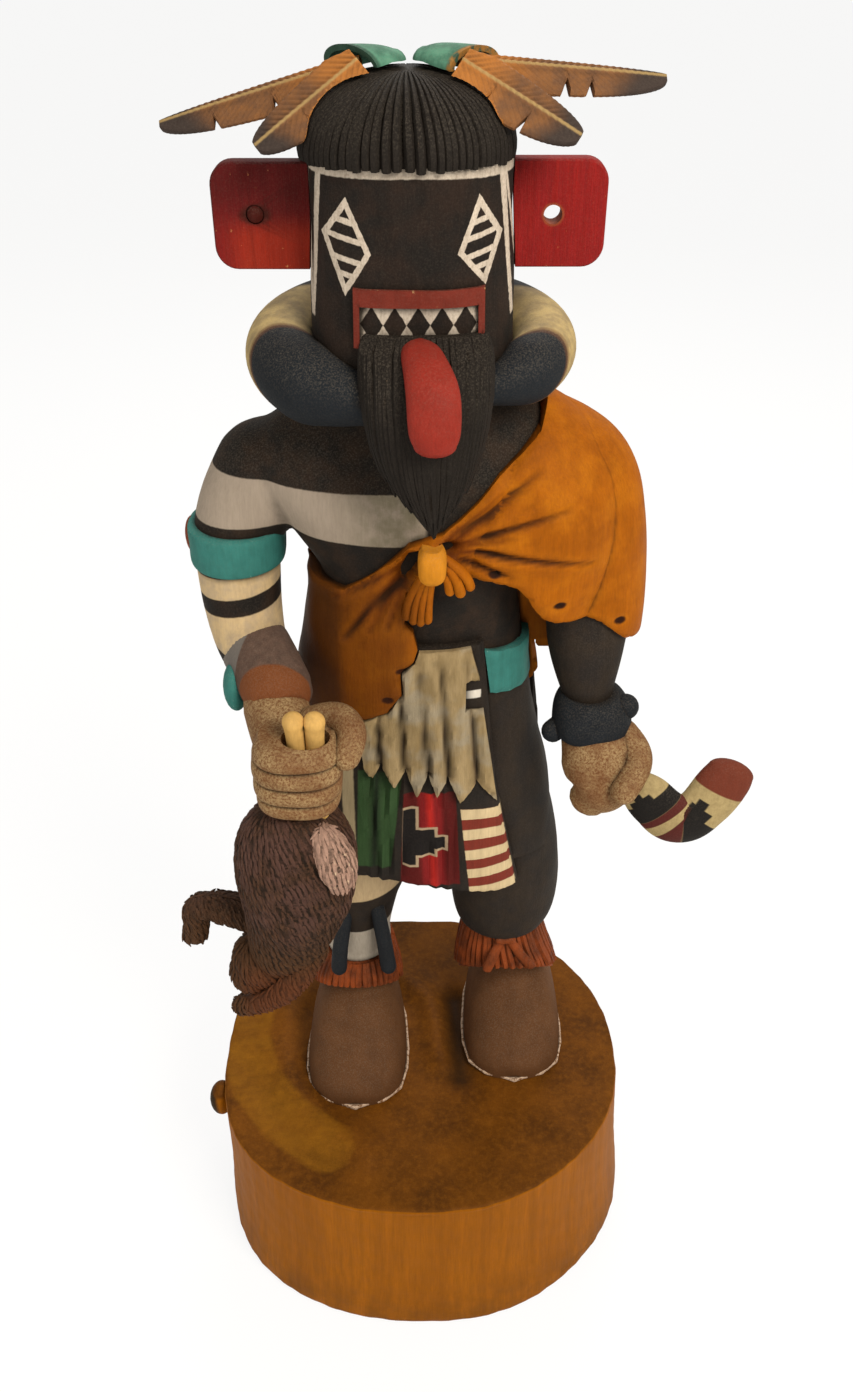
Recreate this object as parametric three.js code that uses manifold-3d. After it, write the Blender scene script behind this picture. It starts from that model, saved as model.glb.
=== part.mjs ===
// A carved and painted wooden doll, standing on a block cut from a root.
// Millimetres, +Z up. The doll faces -Y, and +X is its own left hand side.
// The origin is the middle of the block's flat underside.
import * as THREE from "three";
import { mergeVertices } from "three/addons/utils/BufferGeometryUtils.js";
import Module from "manifold-3d";

const wasm = await Module();
wasm.setup();

// Driving sizes
const CLEARANCE = 0.3;
const BLOCK_HEIGHT = 60;
const BLOCK_HALF_WIDTH = 65.5;
const BLOCK_HALF_DEPTH = 60;
const BLOCK_SQUARENESS = 2.35;
const BLOCK_LEAN = 1.8;
const SOLE_HEIGHT = BLOCK_HEIGHT + CLEARANCE;
const SOLE_THICKNESS = 2;
const MASK_BOTTOM = 303;
const MASK_TOP = 345;
const HAIR_RIM = 344;
const HAIR_LIP = 1.2;
const HAIR_PEAK = 358.6;
const HAIR_HALF_WIDTH = 22;
const HAIR_CENTRE_X = -0.9;
const HAIR_STRANDS = 26;
const HAIR_SQUARENESS = 2.4;
const RUFF_RADIUS = 8.5;
const RUFF_SLIMMING = 2.2;
const EAR_THICKNESS = 5;
const EAR_HOLE_RADIUS = 1.9;
const APRON_RELIEF = 2;
const BELT_RELIEF = 1.1;
const LEFT_FRINGE_LIFT = 15;
const RIGHT_FRINGE_LIFT = 12;
const FEATHER_THICKNESS = 1.7;
const STICK_HALF_WIDTH = 7.4;
const STICK_HALF_THICKNESS = 3.6;
const RABBIT_LEG_RADIUS = 2.2;
const RABBIT_LEG_GAP = 2.2;
const STRIP_ENDS = { sides: 6, steps: 2, capRings: 1 };
const SLIM_LIMB = { sides: 7, steps: 2, capRings: 1 };
const SHORT_LIMB = { sides: 8, steps: 1, capRings: 1 };
const FAR = 120;

// Cross sections of the upright forms, lowest first:
// height, centre x, centre y, half width, half depth, squareness (2 is an ellipse)
const TORSO = [
  [200, 1, 8.5, 30, 20.5, 2.4],
  [218, 0.2, 7, 27.7, 19.5, 2.4],
  [232, 0.7, 6, 26.2, 19, 2.4],
  [247, 1.5, 5.5, 24.5, 20, 2.4],
  [262, 0, 5, 31, 21.5, 2.4],
  [273, -1, 5, 36, 21, 2.4],
  [281, -1, 6, 36, 18, 2.3],
  [288, 0, 6, 29, 15, 2.2],
  [298, 0, 4, 20, 14, 2],
  [306, 0, 3, 17, 13, 2],
];
const HIPS = [
  [158, 3.8, 11, 35.8, 21, 2.8],
  [178, 2.8, 10.5, 34.7, 21.5, 2.6],
  [195, 1.4, 9.5, 32.2, 21, 2.5],
  [212, 0.8, 8, 29.6, 20, 2.4],
  [228, 0.8, 6.5, 26.7, 19, 2.4],
];
const LEFT_LEG = [
  [116, 26.7, 13, 11, 11, 2],
  [119, 26.7, 13, 14, 14, 2.1],
  [130, 26.9, 13, 16.4, 16.5, 2.2],
  [150, 26, 12, 16.2, 17, 2.2],
  [170, 22, 11, 16.5, 18, 2.2],
  [190, 18, 10, 15, 17, 2.2],
];
const RIGHT_LEG = [
  [98, -19, 16, 10, 11, 2],
  [116, -19, 14.5, 11, 12, 2],
  [129, -18.3, 14, 13, 14, 2.1],
  [138, -18, 13, 15.2, 16, 2.2],
  [165, -17, 12, 16.5, 18, 2.2],
  [185, -15, 11, 15, 17, 2.2],
];
const LEFT_CUFF = [
  [89, 29.3, 15.6, 17.6, 17.4, 2],
  [96, 28.7, 15, 16.6, 16.4, 2],
  [106, 27.6, 14, 14.2, 14.4, 2],
  [118, 27, 13.5, 12, 12, 2],
];
const RIGHT_CUFF = [
  [82, -20, 16, 15.6, 16.2, 2],
  [90, -19.8, 15.8, 14.8, 15.4, 2],
  [103, -19.2, 15.4, 11.8, 13, 2],
];
const KILT = [
  [140, 0, 13, 36, 29.5, 2.5],
  [165, 0, 11.5, 35, 29, 2.5],
  [185, 0.5, 9.5, 34, 26.5, 2.5],
  [210, 1, 8, 31.5, 23.5, 2.4],
  [234, 1.5, 6, 28, 21.3, 2.4],
];
// The cloth lies over three forms: the back and belly, the chest, and the left arm.
const CLOTH_BODY = [
  [196, 0.5, 9, 33, 25.6, 2.4],
  [215, 0.5, 8, 32, 25.4, 2.4],
  [232, 0.5, 6.5, 29, 23.6, 2.4],
  [247, 0.5, 6, 27.2, 22.8, 2.4],
  [262, 0, 5.5, 32, 24, 2.4],
  [273, 0, 5.5, 36, 23.5, 2.4],
  [281, 1, 6, 36, 20.5, 2.3],
  [288, 2, 6, 30, 17, 2.2],
  [296, 2, 5, 23, 14, 2],
];
const CLOTH_CHEST = [
  [222, 25, 3, 20, 16, 2.2],
  [236, 25, 3.5, 22, 18.5, 2.3],
  [250, 24, 4, 25, 21, 2.4],
  [262, 23, 4.5, 27, 22, 2.4],
  [274, 21, 5.5, 27, 20.5, 2.3],
  [284, 19, 6, 22, 16, 2.2],
  [291, 17, 6, 15, 11, 2],
];
const CLOTH_ARM = [
  [220, 43.2, 1.5, 13, 12.5, 2.1],
  [236, 43.8, 3, 14.2, 13.8, 2.1],
  [250, 43, 5, 14.4, 14.6, 2.1],
  [262, 41.5, 6.5, 14.6, 15, 2.1],
  [273, 37.5, 7.5, 15.6, 14.5, 2.1],
  [281, 34, 8, 13.2, 12, 2.1],
  [288, 29, 8, 7, 6, 2],
];
const MASK = [
  [MASK_BOTTOM, 0, 0.5, 21.8, 20.5, 2.6],
  [310, 0, 0.5, 21.7, 20.5, 2.6],
  [325, 0, 0.5, 21, 20.2, 2.6],
  [MASK_TOP, 0, 0.5, 20.3, 20, 2.6],
];
const BEARD = [
  [270.5, 4.6, -28, 1.4, 2, 2],
  [276, 4.2, -28.4, 5, 4.6, 2],
  [283, 3.4, -26.5, 9.4, 8, 2.1],
  [291, 3, -25.5, 12, 10, 2.2],
  [301, 3, -24, 13.4, 10.5, 2.3],
  [309, 3, -20.5, 13.6, 7.5, 2.3],
  [312, 3, -18, 12.8, 4.5, 2.3],
];
const RABBIT_BODY = [
  [146, -36, -34, 6, 7, 2],
  [152, -34.5, -34.5, 9.6, 9.5, 2.1],
  [161, -32, -35, 11.8, 11.5, 2.1],
  [171, -30.4, -35.5, 14, 12.8, 2.1],
  [183, -30, -35.5, 15.3, 13.2, 2.1],
  [193, -29.8, -36, 13.8, 12, 2],
  [199.5, -29.6, -37, 10.5, 9.5, 2],
  [202.8, -29.5, -37.5, 6, 6, 2],
];

// Outlines seen from the front: x, height
const CLOTH_FRONT_UPPER = [
  [2, 264.5], [6.9, 266.4], [10.5, 269.3], [15, 273.5], [19.3, 278.2], [23.8, 281.8],
  [28.6, 286], [31, 292], [34, 300], [70, 310], [75, 231], [58, 230.5], [55.5, 231],
  [52, 232.6], [48.4, 236], [45.6, 238.2], [42.3, 239.6], [38.3, 239.8], [34.5, 240.2],
  [31.1, 241.9], [28.5, 245.2], [26.9, 248.3], [24.3, 251.3], [21.3, 252.1], [14.1, 253.6],
  [8, 256], [1, 256],
];
const CLOTH_FRONT_LOWER = [
  [6, 266], [-1, 263.5], [-9, 255], [-16.4, 249], [-23, 248.3], [-45, 247], [-45, 203],
  [-24, 210], [-18.5, 213], [-12.8, 212.6], [-7, 215.4], [-3.2, 221], [-3.4, 227.4],
  [-0.2, 230.6], [0.8, 234], [-0.2, 238.5], [-2.3, 241.5], [-1, 250], [6, 256],
];
const CLOTH_BACK = [
  [23, 300], [-8, 282], [-27, 249.5], [-45, 247], [-45, 203], [-30, 207], [-20, 200.5],
  [-9, 206], [2, 200], [13, 207], [24, 203], [33, 212], [40, 216], [46, 222], [75, 224],
  [75, 310], [30, 310],
];
const KILT_FRONT = [
  [-60, 240], [-60, 164], [-30, 162], [-14, 159], [-2, 157], [14, 153], [29.5, 148.5],
  [21.3, 190], [16.3, 240],
];
const KILT_BACK = [
  [-60, 240], [-60, 164], [-30, 162], [0, 157], [28, 153], [60, 152], [60, 190], [60, 240],
];
const APRON = [
  [1.2, 233.4], [13.8, 234], [17, 222], [21.8, 185.4], [16, 193.4], [11.9, 186.6],
  [8.6, 195.2], [5.8, 189], [3.4, 196.6], [0.5, 189.2], [-2.4, 198], [-5.3, 191.8],
  [-8.8, 199.2], [-11, 194.6], [-13.2, 197.6], [-13.8, 204], [-13.4, 211.8], [-6.8, 214.8],
  [-2.8, 221], [-3, 227], [0.2, 230.2],
];
const BELT_OUTLINE = [[17.4, 230.6], [19.2, 217.4], [30, 213.8], [60, 212], [60, 224], [30, 227]];
const MOUTH_OUTER = [[-11.8, 309.2], [14.9, 309.2], [14.7, 321], [-11.6, 321]];
const MOUTH_INNER = [[-10.6, 308], [13.6, 308], [13.4, 317.6], [-10.4, 317.6]];
const FOLD_CENTRE = [7, 262.5];
const FOLD_ENDS = [[28.5, 279], [35.5, 270.5], [40, 257], [23.5, 254.2]];
const LOWER_FOLD_CENTRE = [0.5, 260.5];
const LOWER_FOLD_ENDS = [[-17, 236], [-12, 243], [-8.5, 240]];

// Shared shapes

// Rows of numbers that start with their own position, resampled evenly and smoothly.
function smoothRows(rows, steps) {
  const places = rows.map((row) => row[0]);
  const values = rows.flatMap((row) => row.slice(1));
  const curve = new THREE.CubicInterpolant(places, values, rows[0].length - 1);
  const first = places[0];
  const span = places.at(-1) - first;
  const result = [];
  for (let i = 0; i <= steps; i += 1) {
    const place = first + (span * i) / steps;
    result.push([place, ...curve.evaluate(place)]);
  }
  return result;
}

// A closed solid from a geometry whose faces point outwards.
function solid(geometry) {
  const bare = geometry.clone();
  bare.deleteAttribute("normal");
  bare.deleteAttribute("uv");
  const merged = mergeVertices(bare, 1e-4);
  const mesh = new wasm.Mesh({
    numProp: 3,
    vertProperties: new Float32Array(merged.attributes.position.array),
    triVerts: new Uint32Array(merged.index.array),
  });
  return new wasm.Manifold(mesh);
}

function signedVolume(points, faces) {
  let volume = 0;
  for (let i = 0; i < faces.length; i += 3) {
    const [a, b, c] = [points[faces[i]], points[faces[i + 1]], points[faces[i + 2]]];
    volume += a.dot(b.clone().cross(c));
  }
  return volume;
}

// A closed solid over rings of points, with a fan of faces over the first and the last ring.
function skin(rings) {
  const sides = rings[0].length;
  const points = rings.flat();
  const faces = [];
  for (let ring = 0; ring + 1 < rings.length; ring += 1) {
    for (let side = 0; side < sides; side += 1) {
      const a = ring * sides + side;
      const b = ring * sides + ((side + 1) % sides);
      faces.push(a, b, b + sides, a, b + sides, a + sides);
    }
  }
  const lastRing = (rings.length - 1) * sides;
  for (const [start, flip] of [[0, true], [lastRing, false]]) {
    const middle = new THREE.Vector3();
    for (let side = 0; side < sides; side += 1) {
      middle.addScaledVector(points[start + side], 1 / sides);
    }
    points.push(middle);
    for (let side = 0; side < sides; side += 1) {
      const a = start + side;
      const b = start + ((side + 1) % sides);
      faces.push(points.length - 1, flip ? b : a, flip ? a : b);
    }
  }
  if (signedVolume(points, faces) < 0) {
    faces.reverse();
  }
  const geometry = new THREE.BufferGeometry().setFromPoints(points);
  geometry.setIndex(faces);
  return solid(geometry);
}

// A rounded outline: squareness 2 is an ellipse, more is squarer.
function outlinePoint(angle, halfWidth, halfDepth, squareness) {
  const x = Math.cos(angle);
  const y = Math.sin(angle);
  return [
    halfWidth * Math.sign(x) * Math.abs(x) ** (2 / squareness),
    halfDepth * Math.sign(y) * Math.abs(y) ** (2 / squareness),
  ];
}

// An upright form over cross sections. relief(angle, height) moves its skin in or out,
// and lift(angle, height) moves it up.
function loft(rows, { sides = 24, steps = 8, grow = 0, relief = () => 0, lift = () => 0 } = {}) {
  const rings = smoothRows(rows, steps).map(([z, x, y, halfWidth, halfDepth, squareness]) => {
    const ring = [];
    for (let side = 0; side < sides; side += 1) {
      const angle = (2 * Math.PI * side) / sides;
      const [u, v] = outlinePoint(angle, halfWidth, halfDepth, squareness);
      const scale = 1 + (grow + relief(angle, z)) / Math.hypot(u, v);
      ring.push(new THREE.Vector3(x + u * scale, y + v * scale, z + lift(angle, z)));
    }
    return ring;
  });
  return skin(rings);
}

// How far forward (lowest y) an upright form reaches at one place seen from the front.
function frontOf(rows, x, z) {
  if (z < rows[0][0] || z > rows.at(-1)[0]) {
    return Infinity;
  }
  const places = rows.map((row) => row[0]);
  const values = rows.flatMap((row) => row.slice(1));
  const curve = new THREE.CubicInterpolant(places, values, rows[0].length - 1);
  const [centreX, centreY, halfWidth, halfDepth, squareness] = curve.evaluate(z);
  const across = Math.abs((x - centreX) / halfWidth);
  return across < 1 ? centreY - halfDepth * (1 - across ** squareness) ** (1 / squareness) : Infinity;
}

// A limb with round ends along a curve. Rows are x, y, z, half width, half thickness;
// "across" is the direction that the width is measured in.
function limb(rows, { sides = 12, steps = 10, across = [1, 0, 0], grow = 0, capRings = 2 } = {}) {
  const curve = new THREE.CatmullRomCurve3(rows.map((row) => new THREE.Vector3(...row.slice(0, 3))));
  const sizes = smoothRows(rows.map((row, i) => [i, row[3], row[4] ?? row[3]]), steps);
  const wide = new THREE.Vector3(...across);
  const ringAt = (t, size, shrink, shift) => {
    const along = curve.getTangent(t);
    const first = wide.clone().addScaledVector(along, -wide.dot(along)).normalize();
    const second = along.clone().cross(first);
    const middle = curve.getPoint(t).addScaledVector(along, shift * (Math.min(size[1], size[2]) + grow));
    const ring = [];
    for (let side = 0; side < sides; side += 1) {
      const angle = (2 * Math.PI * side) / sides;
      const point = middle.clone();
      point.addScaledVector(first, Math.cos(angle) * (size[1] + grow) * shrink);
      point.addScaledVector(second, Math.sin(angle) * (size[2] + grow) * shrink);
      ring.push(point);
    }
    return ring;
  };
  const rings = [];
  for (let cap = capRings; cap > 0; cap -= 1) {
    const turn = (cap / (capRings + 0.4)) * (Math.PI / 2);
    rings.push(ringAt(0, sizes[0], Math.cos(turn), -Math.sin(turn)));
  }
  for (let i = 0; i <= steps; i += 1) {
    rings.push(ringAt(i / steps, sizes[i], 1, 0));
  }
  for (let cap = 1; cap <= capRings; cap += 1) {
    const turn = (cap / (capRings + 0.4)) * (Math.PI / 2);
    rings.push(ringAt(1, sizes[steps], Math.cos(turn), Math.sin(turn)));
  }
  return skin(rings);
}

// A straight bar along Y whose outline is given as seen from the front.
function prism(outline, fromY, toY) {
  const shape = new THREE.Shape(outline.map(([x, z]) => new THREE.Vector2(x, z)));
  const geometry = new THREE.ExtrudeGeometry(shape, { depth: toY - fromY, bevelEnabled: false });
  geometry.rotateX(Math.PI / 2);
  geometry.translate(0, toY, 0);
  return solid(geometry);
}

function ball(x, y, z, radius, stretch = [1, 1, 1]) {
  const geometry = new THREE.SphereGeometry(radius, 7, 5);
  geometry.scale(...stretch);
  geometry.translate(x, y, z);
  return solid(geometry);
}

function join(parts) {
  return parts.reduce((whole, part) => whole.add(part));
}

// Flutes round an upright form, as its skin sees them
function flutes(count, depth) {
  return (angle) => -depth * (0.5 + 0.5 * Math.cos(count * angle));
}

// The block of root wood

// Distance from a point to a line of corners, seen from above
function distanceToPath(x, y, path) {
  let nearest = Infinity;
  for (let i = 0; i + 1 < path.length; i += 1) {
    const [ax, ay] = path[i];
    const [bx, by] = path[i + 1];
    const length = (bx - ax) ** 2 + (by - ay) ** 2;
    const t = THREE.MathUtils.clamp(((x - ax) * (bx - ax) + (y - ay) * (by - ay)) / length, 0, 1);
    nearest = Math.min(nearest, Math.hypot(x - ax - t * (bx - ax), y - ay - t * (by - ay)));
  }
  return nearest;
}

const SIDE_RIDGE = [[-36, 36], [-45, 22], [-46, 4], [-40, -12], [-29, -26], [-16, -35]];
const MIDDLE_RIDGE = [[-4, 34], [4, 25], [7, 12], [9, 0]];
const SIDE_RIDGE_HEIGHT = 3;
const MIDDLE_RIDGE_HEIGHT = 2.4;
const HOLLOW = [[13, 26], [13, 8], [14, -6]];
const HOLLOW_DEPTH = 2.2;
// Heights of the block's side and its width there, beside its width at the upper edge
const BLOCK_SIDE = [[0, 1.025], [3, 1.045], [30, 1.015], [BLOCK_HEIGHT - 1.6, 1]];
const BLOCK_RIM = 0.985;
const BLOCK_KNOT = [-65.5, -9, 52, 5, [0.8, 1, 1.25]];

function groundHeight(x, y) {
  const bump = (path, width) => Math.exp(-((distanceToPath(x, y, path) / width) ** 2));
  const raised = SIDE_RIDGE_HEIGHT * bump(SIDE_RIDGE, 7) + MIDDLE_RIDGE_HEIGHT * bump(MIDDLE_RIDGE, 5);
  return BLOCK_HEIGHT + raised - HOLLOW_DEPTH * bump(HOLLOW, 5);
}

function blockOfWood() {
  const sides = 28;
  const topSteps = 5;
  const centreY = 5.3;
  const wobble = (angle) => 1 + 0.012 * Math.sin(3 * angle + 1) + 0.009 * Math.sin(5 * angle + 2.2);
  const lean = (height) => BLOCK_LEAN * (1 - height / BLOCK_HEIGHT);
  const ringOf = (scale, height) => {
    const ring = [];
    for (let side = 0; side < sides; side += 1) {
      const angle = (2 * Math.PI * side) / sides;
      const [u, v] = outlinePoint(angle, BLOCK_HALF_WIDTH, BLOCK_HALF_DEPTH, BLOCK_SQUARENESS);
      const x = u * scale * wobble(angle) + lean(height ?? BLOCK_HEIGHT);
      const y = centreY + v * scale * wobble(angle);
      ring.push(new THREE.Vector3(x, y, height ?? groundHeight(x, y)));
    }
    return ring;
  };
  const rings = BLOCK_SIDE.map(([height, scale]) => ringOf(scale, height));
  for (let step = topSteps; step > 0; step -= 1) {
    rings.push(ringOf((step / topSteps) * BLOCK_RIM));
  }
  return skin(rings).add(ball(...BLOCK_KNOT));
}

// A moccasin as sections from toe to heel: y, half width, height above the sole
const MOCCASIN = [
  [-18.6, 2.5, 3.6], [-17, 8.5, 7], [-12, 14, 12.5], [-4, 16, 20], [4, 16.3, 27.4],
  [18, 15.2, 31.5], [30, 12, 24], [35.5, 5.5, 12],
];

const MOCCASIN_SIDES = 6;

function moccasin(centreX, shiftY, grow = 0) {
  const rings = MOCCASIN.map(([y, halfWidth, height], i) => {
    const end = i === 0 ? -grow : i === MOCCASIN.length - 1 ? grow : 0;
    const ring = [];
    for (let side = 0; side <= MOCCASIN_SIDES; side += 1) {
      const angle = (Math.PI * side) / MOCCASIN_SIDES;
      const x = (halfWidth + grow) * Math.cos(angle);
      const z = (height + grow) * Math.sin(angle) ** 0.85;
      ring.push(new THREE.Vector3(centreX + x, shiftY + y + end, SOLE_HEIGHT - grow + z));
    }
    return ring;
  });
  return skin(rings);
}

function sole(centreX, shiftY, grow = 0) {
  const outline = new THREE.Shape();
  const right = MOCCASIN.map(([y, halfWidth]) => new THREE.Vector2(centreX + halfWidth + 0.9, shiftY + y));
  const left = MOCCASIN.map(([y, halfWidth]) => new THREE.Vector2(centreX - halfWidth - 0.9, shiftY + y));
  const toe = new THREE.Vector2(centreX, shiftY + MOCCASIN[0][0] - 1.4);
  outline.setFromPoints([toe, ...right, ...left.reverse()]);
  const geometry = new THREE.ExtrudeGeometry(outline, {
    depth: SOLE_THICKNESS + 2 * grow,
    bevelEnabled: grow > 0,
    bevelThickness: 0,
    bevelSize: grow,
    bevelSegments: 1,
  });
  geometry.translate(0, 0, SOLE_HEIGHT - grow);
  return solid(geometry);
}

const RIGHT_FOOT = [-20, 0];
const LEFT_FOOT = [32, 10.5];

// A fringe ends higher in front, where it lies on the moccasin.
function fringe(rows, frontLift) {
  const [low, high] = [rows[0][0], rows.at(-1)[0]];
  const lift = (angle, z) => frontLift * Math.max(0, -Math.sin(angle)) * ((high - z) / (high - low));
  return loft(rows, { sides: 20, steps: 2, relief: flutes(10, 1.4), lift });
}

// Legs, cuffs and moccasins
function legs() {
  return join([
    loft(LEFT_LEG, { sides: 11, steps: 5 }),
    loft(RIGHT_LEG, { sides: 10, steps: 4 }),
    fringe(LEFT_CUFF, LEFT_FRINGE_LIFT),
    fringe(RIGHT_CUFF, RIGHT_FRINGE_LIFT),
    moccasin(...RIGHT_FOOT),
    moccasin(...LEFT_FOOT),
    sole(...RIGHT_FOOT),
    sole(...LEFT_FOOT),
    limb([[-21.5, 2, 128, 2.2], [-23.5, -0.5, 116, 2.4], [-24.4, -0.8, 106, 2.4]], STRIP_ENDS),
    limb([[-12, 2, 129, 2.2], [-10.3, 1, 117, 2.4], [-9, 0.6, 105, 2.4]], STRIP_ENDS),
    limb([[26, 0.8, 118, 1.4], [24, -0.2, 112, 1.7], [22.2, -0.8, 106.5, 1.7]], STRIP_ENDS),
    limb([[28.5, 0.8, 118, 1.4], [32, 0, 112, 1.7], [35.6, 0.4, 107, 1.7]], STRIP_ENDS),
  ]);
}

// Kilt, apron and belt
function clothing() {
  const hips = { sides: 20, steps: 4 };
  const kilt = loft(KILT, hips);
  const front = prism(KILT_FRONT, -FAR, 12);
  const back = prism(KILT_BACK, 11.9, FAR);
  const wrapped = kilt.intersect(front.add(back));
  const apron = loft(KILT, { ...hips, grow: APRON_RELIEF, relief: flutes(30, 0.5) });
  const raised = apron.intersect(prism(APRON, -FAR, 0));
  const beltRows = TORSO.slice(0, 4).map(([z, x, y, w, d, n]) => [z, x, y + 0.5, w, d, n]);
  const belt = loft(beltRows, { sides: 18, steps: 3, grow: 1.2 + BELT_RELIEF });
  const beltCut = prism(BELT_OUTLINE, -FAR, FAR);
  return join([wrapped, raised, belt.intersect(beltCut)]);
}

// The cloth over the left shoulder, knotted on the chest

function clothFront(x, z) {
  return Math.min(frontOf(CLOTH_BODY, x, z), frontOf(CLOTH_CHEST, x, z), frontOf(CLOTH_ARM, x, z));
}

// A crease cut from the knot towards one point of the cloth
function crease(from, to, halfWidth) {
  const rows = [];
  for (const t of [0.12, 0.4, 0.7, 1]) {
    const x = THREE.MathUtils.lerp(from[0], to[0], t);
    const z = THREE.MathUtils.lerp(from[1], to[1], t);
    const size = halfWidth * (1 - 0.75 * t);
    rows.push([x, clothFront(x, z) - 0.1, z, size, size]);
  }
  return limb(rows, { sides: 3, steps: 3, across: [0, 1, 0], capRings: 1 });
}

function cloth() {
  const draped = join([
    loft(CLOTH_BODY, { sides: 18, steps: 6 }),
    loft(CLOTH_CHEST, { sides: 14, steps: 5 }),
    loft(CLOTH_ARM, { sides: 12, steps: 5 }),
  ]);
  const front = prism(CLOTH_FRONT_UPPER, -FAR, 8).add(prism(CLOTH_FRONT_LOWER, -FAR, 8));
  const window = front.add(prism(CLOTH_BACK, 7.9, FAR));
  const creases = [
    ...FOLD_ENDS.map((end) => crease(FOLD_CENTRE, end, 1.8)),
    ...LOWER_FOLD_ENDS.map((end) => crease(LOWER_FOLD_CENTRE, end, 1.6)),
  ];
  const wrapped = draped.intersect(window);
  const knot = loft([
    [256.3, 4.2, -20.8, 2.2, 3.4, 2.6], [258, 4.2, -21.2, 3.1, 4.2, 2.8],
    [262, 4.2, -21.3, 3.1, 4.2, 2.8], [264.5, 4.2, -20.5, 2.3, 3.4, 2.6],
  ], { sides: 8, steps: 3 });
  const ends = [
    limb([[3.6, -19.5, 258.5, 2, 1.8], [1.6, -18.8, 251, 3.4, 1.8], [0.8, -17.6, 244, 3.6, 1.7]], SLIM_LIMB),
    limb([[6.4, -20, 260.5, 2, 1.8], [9.6, -20.3, 256, 2.6, 1.8], [11.4, -19.3, 252.6, 2.6, 1.6]], SLIM_LIMB),
  ];
  return join([wrapped.subtract(join(creases)), knot, ...ends]);
}

// Arms and hands

const FIST = { x: -27.3, y: -38, bottom: 204.4, top: 224.5 };
const BORE_X = -25;
const RIGHT_FINGERS = [
  [FIST.bottom, FIST.x, FIST.y, 8.1, 7.2, 2.4],
  [206.6, FIST.x, FIST.y, 9.9, 8.6, 2.5],
  [214, FIST.x, FIST.y, 10.7, 9.2, 2.5],
  [221, FIST.x, FIST.y, 10.5, 9, 2.4],
  [FIST.top, FIST.x, FIST.y + 0.5, 8.8, 7.5, 2.3],
];
const FINGER_PITCH = 4.9;

// Four fingers lie round the front of the fist, one above the other.
function fingerRelief(angle, z) {
  const inFront = Math.max(0, -Math.sin(angle));
  const phase = ((z - FIST.bottom - 0.4) / FINGER_PITCH) % 1;
  return -1.5 * inFront * (1 - Math.abs(Math.sin(Math.PI * phase)) ** 0.6);
}

function rightArm() {
  const bore = loft([
    [200, BORE_X, FIST.y - 0.6, 5.3, 4.4, 2], [215, BORE_X, FIST.y - 0.6, 5.3, 4.4, 2],
    [230, BORE_X, FIST.y - 0.6, 6, 5, 2],
  ], { sides: 8, steps: 1 });
  const fist = loft(RIGHT_FINGERS, { sides: 12, steps: 9, relief: fingerRelief });
  const band = loft([
    [249, -43.7, 3.8, 10.6, 11.6, 2.1], [250, -43.7, 3.8, 11.5, 12.5, 2.1],
    [258.2, -43.3, 4.4, 11.9, 12.9, 2.1], [259.2, -43.1, 4.6, 11, 12, 2.1],
  ], { sides: 10, steps: 3 });
  const guard = limb([[-40, -4.4, 227, 8.9, 9.4], [-33.6, -17.6, 223.6, 8.7, 8.4]], SHORT_LIMB);
  const parts = [
    limb([
      [-35, 7, 270, 13.5, 14], [-42.6, 5, 258, 11, 12], [-43.6, 3, 243, 10.2, 11.2],
      [-42, -1, 230, 9.2, 9.6], [-38.4, -9, 226, 8.2, 8.4], [-34.4, -19, 222, 7.4, 7],
    ], { sides: 9, steps: 6, capRings: 1 }),
    band,
    guard,
    limb([
      [-34, -20, 220.4, 8, 7.6], [-31.4, -27, 217.6, 8.2, 8], [FIST.x, FIST.y + 3, 214.5, 9, 8.6],
    ], SHORT_LIMB),
    fist,
    limb([[-24, -28.5, 222, 3.8, 3.8], [-17.8, -31, 224.6, 3.8, 3.8], [-14.6, -35.4, 223.6, 3.5, 3.6],
      [-15.6, -40, 220.2, 3.2, 3.3]], { sides: 7, steps: 4, capRings: 1 }),
    ball(-44.6, -12.5, 221.4, 6.4, [0.5, 0.9, 1.05]),
    ball(-54.6, 6, 254, 5, [0.4, 0.6, 1]),
  ];
  return join(parts).subtract(bore);
}

const STICK_PATH = [
  [57, -18.4, 194.8], [59.6, -19.3, 192.2], [63.6, -20.6, 188.6], [69.4, -21.2, 184.6],
  [75, -20.6, 188.8], [79.4, -19.8, 195.2], [81.6, -19.3, 199.4],
];
const STICK_WIDTHS = [4.8, 6.6, STICK_HALF_WIDTH, 7.9, STICK_HALF_WIDTH, 7.3, 6.4];
const STICK_THICKNESSES = [3, ...Array(4).fill(STICK_HALF_THICKNESS), 3.5, 3.2];

// The bent stick, wide in the plane that the camera side looks at
function stick(grow = 0) {
  const rows = STICK_PATH.map((point, i) => [...point, STICK_THICKNESSES[i], STICK_WIDTHS[i]]);
  return limb(rows, { sides: 10, steps: 7, across: [0.1, 1, 0.2], grow, capRings: 1 });
}

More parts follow.
